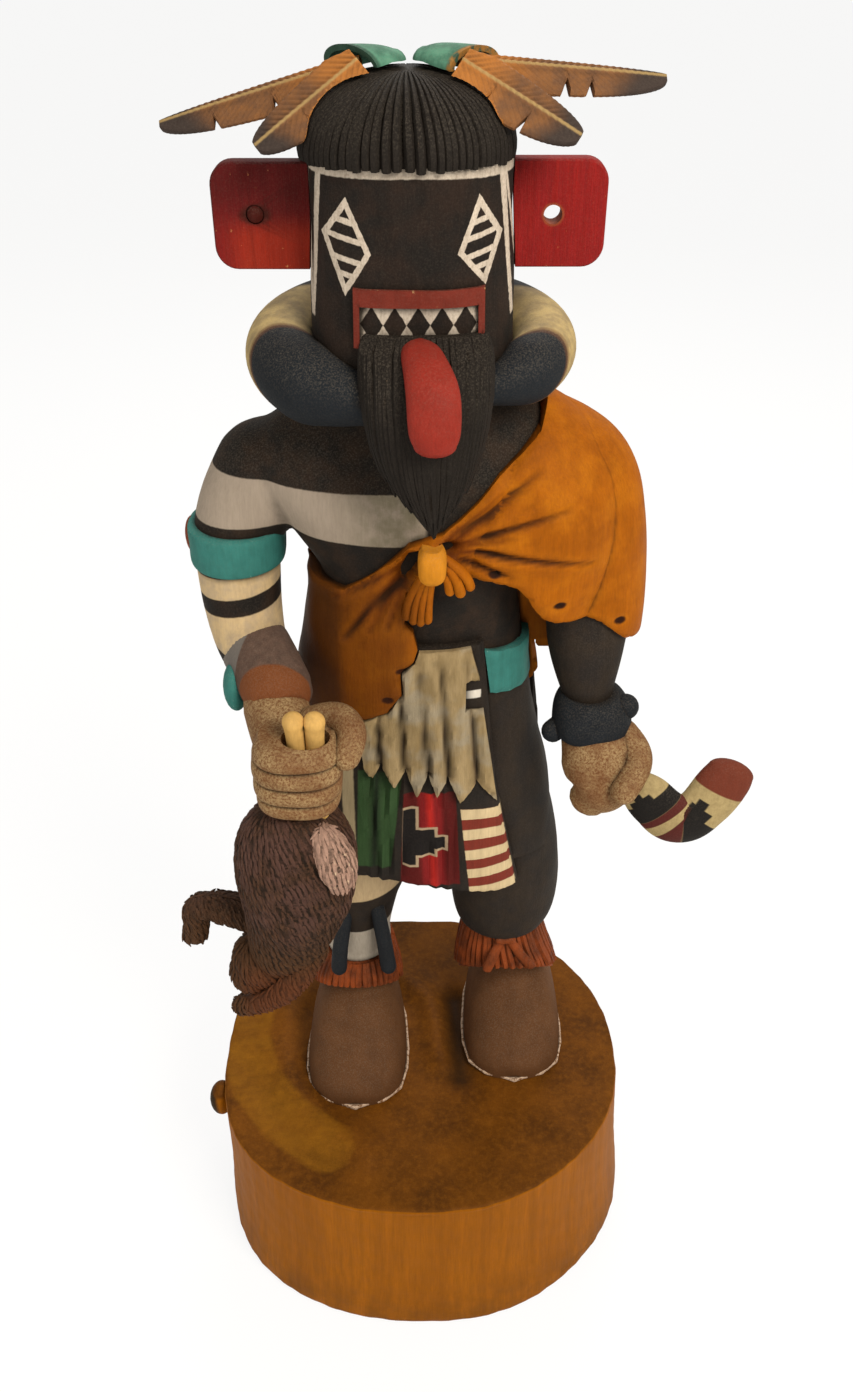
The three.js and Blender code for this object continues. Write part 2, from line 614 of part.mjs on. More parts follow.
function leftArm() {
  const parts = [
    limb([[40, 6, 262, 11, 12], [43.6, 3, 240, 11, 11.6], [43.8, -1, 227, 9.8, 9.6],
      [44.6, -4, 215, 6.8, 7]], { sides: 9, steps: 4, capRings: 1 }),
    limb([[37.6, -8.5, 206.4, 3, 3], [36, -9.4, 205.4, 2.9, 2.9]], SHORT_LIMB),
    loft([[203.6, 46, -7, 9, 8.6, 2.1], [206.5, 46, -6.8, 10.2, 9.6, 2.2],
      [211, 46, -5.8, 9.8, 9.4, 2.2], [214.5, 45.6, -5, 7.6, 7.6, 2]], { sides: 10, steps: 3 }),
    ball(54.6, -8, 212, 3.3),
    limb([[46, -7.5, 205, 8.4, 7.6], [48.6, -12, 198.5, 10.4, 8], [48.4, -15.2, 191.8, 9, 7.2],
      [46, -15.6, 187.4, 5.6, 4.6]], { sides: 9, steps: 4, capRings: 1 }),
    limb([[54, -10, 204.6, 4, 4], [57.4, -16, 200.4, 3.9, 3.9], [53.4, -22.6, 195.4, 3.5, 3.5]],
      { sides: 7, steps: 3, capRings: 1 }),
  ];
  return join(parts).subtract(stick(CLEARANCE));
}

// Head, hair, beard, tongue and ruff

const RUFF = { centreX: 0.8, centreY: 3, radiusX: 29.3, radiusY: 25.5, from: -0.36, to: 0.54 };

// The ruff's middle line: turn 0 is the front, and the roll leaves out the beard's width.
function ruffRows() {
  const rows = [];
  const count = 12;
  for (let i = 0; i <= count; i += 1) {
    const turn = THREE.MathUtils.lerp(RUFF.to, 2 * Math.PI + RUFF.from, i / count);
    const back = 0.5 - 0.5 * Math.cos(turn);
    const nearEnd = Math.min(i, count - i);
    const slim = Math.max(0, 1 - i / 5);
    const radius = (nearEnd === 0 ? 5 : nearEnd === 1 ? 7 : RUFF_RADIUS) - RUFF_SLIMMING * slim;
    rows.push([
      RUFF.centreX + RUFF.radiusX * Math.sin(turn) - RUFF_SLIMMING * slim,
      RUFF.centreY - RUFF.radiusY * Math.cos(turn),
      298 + 6 * back ** 0.7 + slim,
      radius,
    ]);
  }
  return rows;
}

function hairProfile(grow) {
  const rows = [];
  for (const lift of [0, 0.3, 0.62, 0.86, 1]) {
    const spread = Math.sqrt(1 - Math.min(lift, 0.985) ** 2.1);
    const size = HAIR_HALF_WIDTH * spread + grow;
    const height = HAIR_RIM + (HAIR_PEAK - HAIR_RIM + grow) * lift;
    rows.push([height, HAIR_CENTRE_X, 0.5, size, size, HAIR_SQUARENESS]);
  }
  const rim = HAIR_HALF_WIDTH - 1 + grow;
  rows.unshift([HAIR_RIM - HAIR_LIP - grow, HAIR_CENTRE_X, 0.5, rim, rim, HAIR_SQUARENESS]);
  return rows;
}

const HAIR_ENVELOPE_SIDES = 14;

// The hair keeps its own rows, because its crown turns in too sharply for a smooth curve.
function hair(grow = 0, relief = null) {
  const sides = relief ? HAIR_STRANDS * 2 : HAIR_ENVELOPE_SIDES;
  const rings = hairProfile(grow).map(([z, x, y, halfWidth, halfDepth, squareness]) => {
    const ring = [];
    for (let side = 0; side < sides; side += 1) {
      const angle = (2 * Math.PI * side) / sides;
      const [u, v] = outlinePoint(angle, halfWidth, halfDepth, squareness);
      const carved = relief ? relief(angle) * Math.min(1, halfWidth / 8) : 0;
      const scale = 1 + carved / Math.hypot(u, v);
      ring.push(new THREE.Vector3(x + u * scale, y + v * scale, z));
    }
    return ring;
  });
  return skin(rings);
}

function head() {
  const mask = loft(MASK, { sides: 20, steps: 2 });
  const raised = loft(MASK, { sides: 20, steps: 2, grow: 1.1 });
  const frame = prism(MOUTH_OUTER, -FAR, -5).subtract(prism(MOUTH_INNER, -FAR, -4));
  return join([
    mask,
    raised.intersect(frame),
    hair(0, flutes(HAIR_STRANDS, 1.5)),
    loft(BEARD, { sides: 18, steps: 5, relief: flutes(9, 1.3) }),
    limb([[1.2, -19, 309, 3.8, 2.4], [2.4, -27, 309.4, 4.4, 2.6], [4.2, -34.6, 305.4, 5.3, 2.8],
      [4.7, -38, 296.4, 4.4, 2.4]], { sides: 8, steps: 4, capRings: 1 }),
    limb(ruffRows(), { sides: 8, steps: 13, across: [0, 0, 1], capRings: 1 }),
  ]);
}

function ear(side) {
  const inner = 18;
  const outer = side < 0 ? 41 : 39.9;
  const corner = 4;
  const [low, high] = side < 0 ? [319.9, 341] : [320.4, 341.6];
  const shape = new THREE.Shape();
  shape.moveTo(side * inner, low);
  shape.lineTo(side * (outer - corner), low);
  shape.quadraticCurveTo(side * outer, low, side * outer, low + corner);
  shape.lineTo(side * outer, high - corner);
  shape.quadraticCurveTo(side * outer, high, side * (outer - corner), high);
  shape.lineTo(side * inner, high);
  const outline = shape.getPoints(4).map(({ x, y }) => [x, y]);
  const tab = prism(outline, 0.5 - EAR_THICKNESS / 2, 0.5 + EAR_THICKNESS / 2);
  const hole = new THREE.CylinderGeometry(EAR_HOLE_RADIUS, EAR_HOLE_RADIUS, 3 * EAR_THICKNESS, 10);
  hole.translate(side < 0 ? -32.1 : 28.9, 0, 331);
  const maskRoom = loft(MASK, { sides: 20, steps: 2, grow: CLEARANCE });
  return tab.subtract(solid(hole)).subtract(maskRoom).subtract(hair(CLEARANCE));
}

// Feathers and their ties

// A tie is a flattened tube that lies on the crown, with a hollow mouth that is cut on a slant.
// Its path's rows are x, y, z, half depth, half height; rim is a point of its mouth's plane.
const RIGHT_TIE = {
  path: [[-3.3, 1.5, 358.6, 4, 2.4], [-8, 1, 358.4, 6.2, 3.4], [-18.5, 1.2, 357.6, 6.8, 4]],
  rim: [-12, 1.5, 358.6],
  inward: [0.731, 0.639, 0.242],
};
const LEFT_TIE = {
  path: [[2.9, 2.2, 359, 4, 2.4], [7, 1.4, 358.6, 6.2, 3.4], [18, 0.6, 357.2, 6.6, 4]],
  rim: [11.4, -0.2, 357.3],
  inward: [-0.759, 0.63, 0.162],
};
const TIE_WALL = 1.2;
const TIE_MOUTH_DEPTH = 4;

function tieCone(side, grow = 0) {
  const { path, rim, inward } = side < 0 ? RIGHT_TIE : LEFT_TIE;
  const shape = { sides: 10, steps: 3, across: [0, 1, 0], capRings: 1 };
  const level = new THREE.Vector3(...rim).dot(new THREE.Vector3(...inward));
  const outward = inward.map((share) => -share);
  const whole = limb(path, { ...shape, grow });
  const narrower = path.map(([x, y, z, a, b]) => [x, y, z, a - TIE_WALL, b - TIE_WALL]);
  const hollow = limb(narrower, { ...shape, grow: -grow });
  const body = whole.trimByPlane(inward, level - grow);
  return body.subtract(hollow.trimByPlane(outward, -level - TIE_MOUTH_DEPTH + grow));
}

function featherTie(side) {
  return tieCone(side).subtract(hair(CLEARANCE));
}

// Each feather: root, tip, width above and below its shaft, layer, and where its edge is split.
const FEATHERS = {
  feather_right_upper: {
    side: -1, root: [-9.5, 0.6, 358.6], tip: [-51.4, 6, 346.4], above: 1.6, below: 6.6, layer: 0,
    splits: [0.42, 0.72],
  },
  feather_right_lower: {
    side: -1, root: [-9.5, -2.4, 357.8], tip: [-29.6, -9.6, 343.8], above: 4.8, below: 7, layer: 1,
    splits: [0.25, 0.55],
  },
  feather_left_upper: {
    side: 1, root: [9, 0.8, 358.6], tip: [51.4, 8, 354.6], above: 1.7, below: 6.8, layer: 0,
    splits: [0.5, 0.62],
  },
  feather_left_lower: {
    side: 1, root: [9.4, -2.4, 357.6], tip: [32.4, -10, 345.6], above: 4.8, below: 7.4, layer: 1,
    splits: [0.3, 0.6],
  },
};
const FEATHER_FACING = new THREE.Vector3(0, -0.68, 0.73);
const FEATHER_LAYER_GAP = 2.1;
const FEATHER_STEPS = 8;

// How wide a feather is along its length, as a share of its widest
function featherShare(t) {
  return Math.min(1, 0.62 + 2 * t) * Math.sqrt(Math.max(0, 1 - t ** 5)) * (1 - 0.25 * t);
}

function feather({ side, root, tip, above, below, layer, splits }) {
  const start = new THREE.Vector3(...root);
  const along = new THREE.Vector3(...tip).sub(start);
  const length = along.length();
  along.normalize();
  const facing = FEATHER_FACING.clone().addScaledVector(along, -FEATHER_FACING.dot(along)).normalize();
  const across = facing.clone().cross(along).multiplyScalar(side > 0 ? 1 : -1);
  const evenly = [...Array(FEATHER_STEPS + 1).keys()].map((i) => i / FEATHER_STEPS);
  const upper = evenly.map((t) => [t * length, above * featherShare(t)]);
  const clear = evenly.filter((t) => splits.every((split) => Math.abs(t - split) > 0.04));
  const edge = clear.map((t) => [t, 1]);
  for (const split of splits) {
    edge.push([split - 0.02, 1], [split, 0.42], [split + 0.01, 0.97]);
  }
  edge.sort((a, b) => a[0] - b[0]);
  const lower = edge.map(([t, share]) => [t * length, -below * share * featherShare(t)]);
  const corners = [...lower, ...upper.reverse().slice(1)];
  const shape = new THREE.Shape(corners.map(([x, y]) => new THREE.Vector2(x, y)));
  const geometry = new THREE.ExtrudeGeometry(shape, { depth: FEATHER_THICKNESS, bevelEnabled: false });
  geometry.translate(0, 0, side * layer * FEATHER_LAYER_GAP - FEATHER_THICKNESS / 2);
  const turned = new THREE.Matrix4().makeBasis(along, across, along.clone().cross(across));
  geometry.applyMatrix4(turned.setPosition(start));
  return solid(geometry).subtract(tieCone(side, CLEARANCE)).subtract(hair(CLEARANCE));
}

// The rabbit that hangs by its hind legs through the right fist

function rabbit() {
  const legsAt = [BORE_X - RABBIT_LEG_GAP, BORE_X + RABBIT_LEG_GAP];
  const hindLegs = legsAt.map((x, i) => limb([
    [x, FIST.y - 0.4, 199, RABBIT_LEG_RADIUS], [x, FIST.y - 0.6, 222, RABBIT_LEG_RADIUS],
    [x + (i - 0.5) * 0.4, FIST.y - 1.4, 229.6, RABBIT_LEG_RADIUS + 0.4],
  ], { sides: 6, steps: 1, capRings: 1 }));
  const furry = (angle, z) => 0.4 * Math.sin(6 * angle + 0.3 * z);
  return join([
    loft(RABBIT_BODY, { sides: 12, steps: 6, relief: furry }),
    ...hindLegs,
    limb([[-37, -34, 152, 7, 7], [-41.5, -34.5, 146.5, 8.4, 8], [-44.5, -35, 142.5, 6.2, 6]],
      { sides: 8, steps: 2, capRings: 1 }),
    limb([[-40, -31, 158, 5, 4.6], [-51, -29.6, 161, 4.4, 4], [-58, -29, 160.4, 3.8, 3.6],
      [-59.4, -28.6, 154, 3.4, 3.2], [-60.4, -28.2, 149.6, 3.4, 3]], { sides: 7, steps: 5, capRings: 1 }),
    limb([[-27.6, -36.6, 153, 4.4, 4.4], [-33.4, -41, 144, 3.8, 3.6], [-40.5, -40, 136.4, 3.2, 3],
      [-47.8, -36.6, 130.6, 3, 2.8]], { sides: 8, steps: 3, capRings: 1 }),
    limb([[-21.6, -43.6, 199, 3.6, 2.8], [-18.7, -45.2, 191.6, 5.2, 3.4], [-17.6, -45.2, 185.4, 3.8, 2.8]],
      { sides: 8, steps: 2, across: [0.75, 0.6, 0], capRings: 1 }),
    limb([
      [-40, -30, 142, 2.8, 1.8], [-33, -27.6, 147.6, 3.4, 1.8], [-27, -26.4, 152.5, 2.4, 1.6],
    ], STRIP_ENDS),
  ]);
}

// The whole object

function figure() {
  const trunk = join([
    loft(TORSO, { sides: 16, steps: 7 }),
    loft(HIPS, { sides: 16, steps: 3 }),
  ]);
  const whole = join([trunk, legs(), clothing(), cloth(), rightArm(), leftArm(), head()]);
  return whole.subtract(stick(CLEARANCE));
}

function standingBlock() {
  const grown = [RIGHT_FOOT, LEFT_FOOT].map((foot) => {
    return moccasin(...foot, CLEARANCE).add(sole(...foot, CLEARANCE));
  });
  return blockOfWood().subtract(join(grown));
}

const MATERIALS = {
  base: [0xa86a1c, 0.65],
  figure: [0x2a221d, 0.7],
  ear_right: [0x8f221f, 0.7],
  ear_left: [0x9a2320, 0.7],
  feather_tie_right: [0x4f7f68, 0.75],
  feather_tie_left: [0x4f7f68, 0.75],
  feather: [0x8a5a34, 0.75],
  rabbit: [0x5a3d2c, 0.8],
  throwing_stick: [0xa8946a, 0.65],
};

const doll = new THREE.Group();
doll.name = "kachina_doll";

function addPiece(name, piece, finish = name) {
  const { vertProperties, triVerts } = piece.getMesh();
  const geometry = new THREE.BufferGeometry();
  geometry.setAttribute("position", new THREE.BufferAttribute(new Float32Array(vertProperties), 3));
  geometry.setIndex(new THREE.BufferAttribute(new Uint32Array(triVerts), 1));
  geometry.computeVertexNormals();
  const [color, roughness] = MATERIALS[finish];
  const mesh = new THREE.Mesh(geometry, new THREE.MeshStandardMaterial({ color, roughness, metalness: 0 }));
  mesh.name = name;
  doll.add(mesh);
}

addPiece("base", standingBlock());
addPiece("figure", figure());
addPiece("ear_right", ear(-1));
addPiece("ear_left", ear(1));
addPiece("feather_tie_right", featherTie(-1));
addPiece("feather_tie_left", featherTie(1));
for (const [name, shape] of Object.entries(FEATHERS)) {
  addPiece(name, feather(shape), "feather");
}
addPiece("rabbit", rabbit());
addPiece("throwing_stick", stick());

export default doll;
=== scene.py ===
# A carved and painted wooden doll on a block of root wood: its fine carving and its finishes.
# Tables are in millimetres, in the packed part's frame: +Z up, the doll faces -Y, its left hand is +X.
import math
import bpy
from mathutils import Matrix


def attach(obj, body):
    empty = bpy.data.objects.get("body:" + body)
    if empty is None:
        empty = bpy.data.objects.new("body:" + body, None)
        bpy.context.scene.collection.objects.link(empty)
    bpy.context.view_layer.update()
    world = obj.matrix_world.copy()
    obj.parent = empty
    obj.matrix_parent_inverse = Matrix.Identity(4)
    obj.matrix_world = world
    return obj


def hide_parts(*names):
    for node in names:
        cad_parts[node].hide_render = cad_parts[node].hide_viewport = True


bl_info = {
    "name": "Carved doll finishes",
    "version": (1, 0, 0),
    "blender": (4, 5, 0),
    "location": "View3D > Sidebar > Carved doll",
    "description": "Makes the fine carving and the painted finishes of a wooden doll on its block",
    "category": "Object",
}

import bpy
import numpy as np

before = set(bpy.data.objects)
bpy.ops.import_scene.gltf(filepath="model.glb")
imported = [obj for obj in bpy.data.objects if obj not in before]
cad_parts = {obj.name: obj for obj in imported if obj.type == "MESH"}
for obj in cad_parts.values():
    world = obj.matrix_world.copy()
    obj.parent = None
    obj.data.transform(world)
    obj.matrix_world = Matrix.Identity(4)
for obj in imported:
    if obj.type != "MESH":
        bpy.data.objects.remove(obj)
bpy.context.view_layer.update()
BODY = "root"
MM = 0.001

# Tables of the main forms: height, centre x, centre y, half width, half depth, squareness

TORSO = [
    (200, 1, 8.5, 30, 20.5, 2.4), (218, 0.2, 7, 27.7, 19.5, 2.4), (232, 0.7, 6, 26.2, 19, 2.4),
    (247, 1.5, 5.5, 24.5, 20, 2.4), (262, 0, 5, 31, 21.5, 2.4), (273, -1, 5, 36, 21, 2.4),
    (281, -1, 6, 36, 18, 2.3), (288, 0, 6, 29, 15, 2.2), (298, 0, 4, 20, 14, 2), (306, 0, 3, 17, 13, 2),
]
HIPS = [
    (158, 3.8, 11, 35.8, 21, 2.8), (178, 2.8, 10.5, 34.7, 21.5, 2.6), (195, 1.4, 9.5, 32.2, 21, 2.5),
    (212, 0.8, 8, 29.6, 20, 2.4), (228, 0.8, 6.5, 26.7, 19, 2.4),
]
LEFT_LEG = [
    (116, 26.7, 13, 11, 11, 2), (119, 26.7, 13, 14, 14, 2.1), (130, 26.9, 13, 16.4, 16.5, 2.2),
    (150, 26, 12, 16.2, 17, 2.2), (170, 22, 11, 16.5, 18, 2.2), (190, 18, 10, 15, 17, 2.2),
]
RIGHT_LEG = [
    (98, -19, 16, 10, 11, 2), (116, -19, 14.5, 11, 12, 2), (129, -18.3, 14, 13, 14, 2.1),
    (138, -18, 13, 15.2, 16, 2.2), (165, -17, 12, 16.5, 18, 2.2), (185, -15, 11, 15, 17, 2.2),
]
LEFT_CUFF = [
    (89, 29.3, 15.6, 15.6, 15.4, 2), (96, 28.7, 15, 14.8, 14.6, 2), (106, 27.6, 14, 13, 13.2, 2),
    (118, 27, 13.5, 11, 11, 2),
]
RIGHT_CUFF = [
    (82, -20, 16, 13.6, 14.4, 2), (90, -19.8, 15.8, 13, 13.6, 2), (103, -19.2, 15.4, 10.6, 11.8, 2),
]
KILT = [
    (140, 0, 13, 36, 29.5, 2.5), (165, 0, 11.5, 35, 29, 2.5), (185, 0.5, 9.5, 34, 26.5, 2.5),
    (210, 1, 8, 31.5, 23.5, 2.4), (234, 1.5, 6, 28, 21.3, 2.4),
]
CLOTH_BODY = [
    (196, 0.5, 9, 33, 25.6, 2.4), (215, 0.5, 8, 32, 25.4, 2.4), (232, 0.5, 6.5, 29, 23.6, 2.4),
    (247, 0.5, 6, 27.2, 22.8, 2.4), (262, 0, 5.5, 32, 24, 2.4), (273, 0, 5.5, 36, 23.5, 2.4),
    (281, 1, 6, 36, 20.5, 2.3), (288, 2, 6, 30, 17, 2.2), (296, 2, 5, 23, 14, 2),
]
CLOTH_CHEST = [
    (222, 25, 3, 20, 16, 2.2), (236, 25, 3.5, 22, 18.5, 2.3), (250, 24, 4, 25, 21, 2.4),
    (262, 23, 4.5, 27, 22, 2.4), (274, 21, 5.5, 27, 20.5, 2.3), (284, 19, 6, 22, 16, 2.2),
    (291, 17, 6, 15, 11, 2),
]
CLOTH_ARM = [
    (220, 43.2, 1.5, 13, 12.5, 2.1), (236, 43.8, 3, 14.2, 13.8, 2.1), (250, 43, 5, 14.4, 14.6, 2.1),
    (262, 41.5, 6.5, 14.6, 15, 2.1), (273, 37.5, 7.5, 15.6, 14.5, 2.1), (281, 34, 8, 13.2, 12, 2.1),
    (288, 29, 8, 7, 6, 2),
]
MASK = [
    (303, 0, 0.5, 21.8, 20.5, 2.6), (310, 0, 0.5, 21.7, 20.5, 2.6), (325, 0, 0.5, 21, 20.2, 2.6),
    (345, 0, 0.5, 20.3, 20, 2.6),
]
BEARD = [
    (270.5, 4.6, -28, 1.4, 2, 2), (276, 4.2, -28.4, 5, 4.6, 2), (283, 3.4, -26.5, 9.4, 8, 2.1),
    (291, 3, -25.5, 12, 10, 2.2), (301, 3, -24, 13.4, 10.5, 2.3), (309, 3, -20.5, 13.6, 7.5, 2.3),
    (312, 3, -18, 12.8, 4.5, 2.3),
]
RABBIT_BODY = [
    (146, -36, -34, 6, 7, 2), (152, -34.5, -34.5, 9.6, 9.5, 2.1), (161, -32, -35, 11.8, 11.5, 2.1),
    (171, -30.4, -35.5, 14, 12.8, 2.1), (183, -30, -35.5, 15.3, 13.2, 2.1),
    (193, -29.8, -36, 13.8, 12, 2), (199.5, -29.6, -37, 10.5, 9.5, 2), (202.8, -29.5, -37.5, 6, 6, 2),
]

# Outlines seen from the front: x, height

CLOTH_FRONT_UPPER = [
    (2, 264.5), (6.9, 266.4), (10.5, 269.3), (15, 273.5), (19.3, 278.2), (23.8, 281.8), (28.6, 286),
    (31, 292), (34, 300), (70, 310), (75, 231), (58, 230.5), (55.5, 231), (52, 232.6), (48.4, 236),
    (45.6, 238.2), (42.3, 239.6), (38.3, 239.8), (34.5, 240.2), (31.1, 241.9), (28.5, 245.2),
    (26.9, 248.3), (24.3, 251.3), (21.3, 252.1), (14.1, 253.6), (8, 256), (1, 256),
]
CLOTH_FRONT_LOWER = [
    (6, 266), (-1, 263.5), (-9, 255), (-16.4, 249), (-23, 248.3), (-45, 247), (-45, 203),
    (-24, 210), (-18.5, 213), (-12.8, 212.6), (-7, 215.4), (-3.2, 221), (-3.4, 227.4),
    (-0.2, 230.6), (0.8, 234), (-0.2, 238.5), (-2.3, 241.5), (-1, 250), (6, 256),
]
CLOTH_BACK = [
    (23, 300), (-8, 282), (-27, 249.5), (-45, 247), (-45, 203), (-30, 207), (-20, 200.5), (-9, 206),
    (2, 200), (13, 207), (24, 203), (33, 212), (40, 216), (46, 222), (75, 224), (75, 310), (30, 310),
]
KILT_FRONT = [
    (-60, 240), (-60, 164), (-30, 162), (-14, 159), (-2, 157), (14, 153), (29.5, 148.5), (21.3, 190),
    (16.3, 240),
]
KILT_BACK = [
    (-60, 240), (-60, 164), (-30, 162), (0, 157), (28, 153), (60, 152), (60, 190), (60, 240),
]
APRON = [
    (1.2, 233.4), (13.8, 234), (16.2, 224.4), (12.8, 224.2), (12.8, 215.4), (17.4, 215), (21.8, 185.4),
    (16, 193.4), (11.9, 186.6), (8.6, 195.2), (5.8, 189), (3.4, 196.6), (0.5, 189.2), (-2.4, 198),
    (-5.3, 191.8), (-8.8, 199.2), (-11, 194.6), (-13.2, 197.6), (-13.8, 204), (-13.4, 211.8),
    (-6.8, 214.8), (-2.8, 221), (-3, 227), (0.2, 230.2),
]
LOCK_VALLEYS = [(-8.8, 199.2), (-2.4, 198), (3.4, 196.6), (8.6, 195.2), (16, 193.4)]
LOCK_ROOTS = [(-9, 226), (-4, 230), (1, 232), (6, 233), (12.6, 232)]
BELT_CUT = [(17.4, 230.6), (19.2, 217.4), (30, 213.8), (60, 212), (60, 224), (30, 227)]
MOUTH_OUTER = [(-11.8, 309.2), (14.9, 309.2), (14.7, 321), (-11.6, 321)]
MOUTH_INNER = [(-10.6, 308), (13.6, 308), (13.4, 317.6), (-10.4, 317.6)]

# Creases of the cloth: from, to, half width, depth
CREASES = [
    ((7, 262.5), (28.5, 279), 1.5, 1.5), ((7, 262.5), (35.5, 270.5), 1.3, 1.2),
    ((7, 262.5), (42, 256.4), 1.3, 1.3), ((8, 261), (23.5, 253.6), 1.4, 1.3),
    ((6.4, 264), (20, 275), 1.2, 0.8), ((9, 262.4), (24, 265), 1, 0.6),
    ((0.5, 260.5), (-19, 246.4), 1.7, 1.5), ((0.5, 260.5), (-17, 236), 1.8, 1.7),
    ((0.5, 260.5), (-11, 239), 1.6, 1.5), ((0.5, 260.5), (-6.4, 240), 1.3, 1.2),
]
BACK_CREASES = [
    ((-6, 280), (-10, 214), 3, 1.1), ((8, 288), (6, 210), 3.4, 1.2), ((20, 290), (24, 212), 3, 1.1),
    ((34, 282), (38, 222), 2.6, 0.9), ((-18, 262), (-24, 214), 2.6, 0.9),
]
CLOTH_HOLES = [(50.3, 238.3), (34.6, 246), (18.8, 255.2), (-3, 228.2), (-6.6, 219.6)]
CLOTH_SPLIT_Y = 8

HAIR_RIM = 344
HAIR_LIP = 1.2
HAIR_PEAK = 358.6
HAIR_RADIUS = 22
HAIR_SQUARE = 2.4
HAIR_CENTRE = (-0.9, 0.5)
FIST = (-27.3, -38)
FIST_BOTTOM = 204.4
BORE_X = -25
FINGER_PITCH = 4.9
RIGHT_FOOT = (-20, 0)
LEFT_FOOT = (32, 10.5)
SOLE_HEIGHT = 60.3
MOCCASIN = [
    (-18.6, 2.5, 3.6), (-17, 8.5, 7), (-12, 14, 12.5), (-4, 16, 20), (4, 16.3, 27.4),
    (18, 15.2, 31.5), (30, 12, 24), (35.5, 5.5, 12),
]
STICK_PATH = [
    (57, -18.4, 194.8), (59.6, -19.3, 192.2), (63.6, -20.6, 188.2), (69.4, -21.2, 184),
    (75, -20.6, 188.4), (79.1, -19.8, 195.2), (80.95, -19.3, 199.1),
]
STICK_WIDTHS = (4.8, 6.6, 7.4, 7.9, 7.4, 7.3, 6.4)
STICK_THICKNESSES = (3, 3.6, 3.6, 3.6, 3.6, 3.5, 3.2)
FAR = 120
SIDES = {-1: "right", 1: "left"}

# Each eye: its corners, the slope of its bars, its middle and the heights of its bars
EYES = [
    ([(-12.6, 337.7), (-17.7, 330.8), (-13.3, 319), (-7.8, 327.4)], -0.2, -12.9,
     (333.3, 330.1, 326.2, 323.3)),
    ([(13.2, 338.3), (9.1, 327.5), (14.8, 321.1), (18, 330.8)], 0.27, 13.6,
     (333.5, 330.7, 327.4, 324.9)),
]

# The photo's camera: place, tilt from straight down, focal length and height in pixels
CAMERA_PLACE = (0.003, -0.258, 0.39)
CAMERA_TILT = 55
FOCAL_PIXELS = 1190
PHOTO_HEIGHT = 1392
SENSOR = 36

# Lights: place, power, width and colour
LIGHTS = {
    "key": ((0.42, -0.55, 0.85), 8.8, 0.4, (1, 0.93, 0.82)),
    "fill": ((-0.7, -0.6, 0.5), 2.2, 0.7, (1, 0.95, 0.88)),
    "rim": ((0.1, 0.7, 0.8), 3.9, 0.5, (1, 0.98, 0.96)),
}
AIM = (0, 0, 0.2)
FLOOR_REACH = 6
FLOOR_WHITENESS = 0.85
SKY_LIGHT = 0.54
SKY_SEEN = 1.05


# Sizes and colours that a user would change

def rgb(code):
    """A colour written as six hexadecimal digits, as linear light."""
    parts = [int(code[i:i + 2], 16) / 255 for i in (0, 2, 4)]
    return tuple(c / 12.92 if c <= 0.04045 else ((c + 0.055) / 1.055) ** 2.4 for c in parts)


def colour_property(label, code, text):
    return bpy.props.FloatVectorProperty(
        name=label, description=text, default=rgb(code), size=3, min=0, max=1, subtype="COLOR",
    )


class DollSizes(bpy.types.PropertyGroup):
    """Sizes of the fine carving."""

    hair_strands: bpy.props.IntProperty(
        name="Hair strands", description="Carved strands round the crown", default=84, min=12,
    )
    beard_strands: bpy.props.IntProperty(
        name="Beard strands", description="Carved strands across the beard", default=34, min=8,
    )
    fringe_strands: bpy.props.IntProperty(
        name="Fringe strands", description="Strands round each ankle cuff", default=46, min=8,
    )
    cloth_edge: bpy.props.FloatProperty(
        name="Cloth edge", description="Radius of the cloth's carved edge",
        default=1.3 * MM, min=0, subtype="DISTANCE", unit="LENGTH",
    )
    fur_spacing: bpy.props.FloatProperty(
        name="Fur spacing", description="Least distance between two carved strokes of fur",
        default=1.1 * MM, min=0.5 * MM, subtype="DISTANCE", unit="LENGTH",
    )
    wear: bpy.props.FloatProperty(
        name="Wear", description="How far the paint has rubbed off the edges", default=0.36,
        min=0, max=1, subtype="FACTOR",
    )


class DollColours(bpy.types.PropertyGroup):
    """Paints and stains."""

    black: colour_property("Black", "1b1816", "Matt black of the mask and the body")
    blue_black: colour_property("Blue black", "1a1e23", "Cool black of the ruff, garters and wristband")
    white: colour_property("White", "95887a", "Chalky white of the painted lines and bands")
    cream: colour_property("Cream", "b49d6a", "Warm white of the arm bands and the ruff's back")
    red: colour_property("Red", "86291f", "Red of the tongue")
    mouth_red: colour_property("Mouth red", "6c2a20", "Red of the mouth frame")
    ear_red: colour_property("Ear red", "861a17", "Red of the ears")
    ochre: colour_property("Ochre", "9c5608", "Stain of the shoulder cloth")
    # Colour of the painted shade in the cloth's creases.
    ochre_crease_shade: colour_property("Deep ochre", "5a2a07", "The cloth's creases and darker places")
    turquoise: colour_property("Turquoise", "336f69", "Armband, belt and stone")
    green: colour_property("Green", "568670", "Blue-green of the feather ties")
    kilt_green: colour_property("Kilt green", "30482a", "Green pleats of the kilt")
    kilt_red: colour_property("Kilt red", "74191a", "Red panel of the kilt")
    leather: colour_property("Leather", "5a463c", "Brown of the bow guard")
    hand: colour_property("Hand", "654025", "Stain of the hands under their dusting")
    dusting: colour_property("Dusting", "a48c64", "Pale dusting on the hands")
    apron: colour_property("Apron", "96825f", "Pale skin of the apron")
    rust: colour_property("Rust", "6e3415", "Fringed cuffs")
    moccasin: colour_property("Moccasin", "573820", "Brown of the moccasins")
    bare: colour_property("Bare wood", "b99566", "Wood where the paint is gone")
    fur: colour_property("Fur", "4b3324", "Brown of the rabbit")
    block: colour_property("Block", "8f5406", "Yellow stain of the block's side")
    block_top: colour_property("Block top", "643a0c", "Brown stain of the block's top")
    feather: colour_property("Feather", "7d5432", "Brown of the feathers")


def sizes():
    return bpy.context.scene.doll_sizes


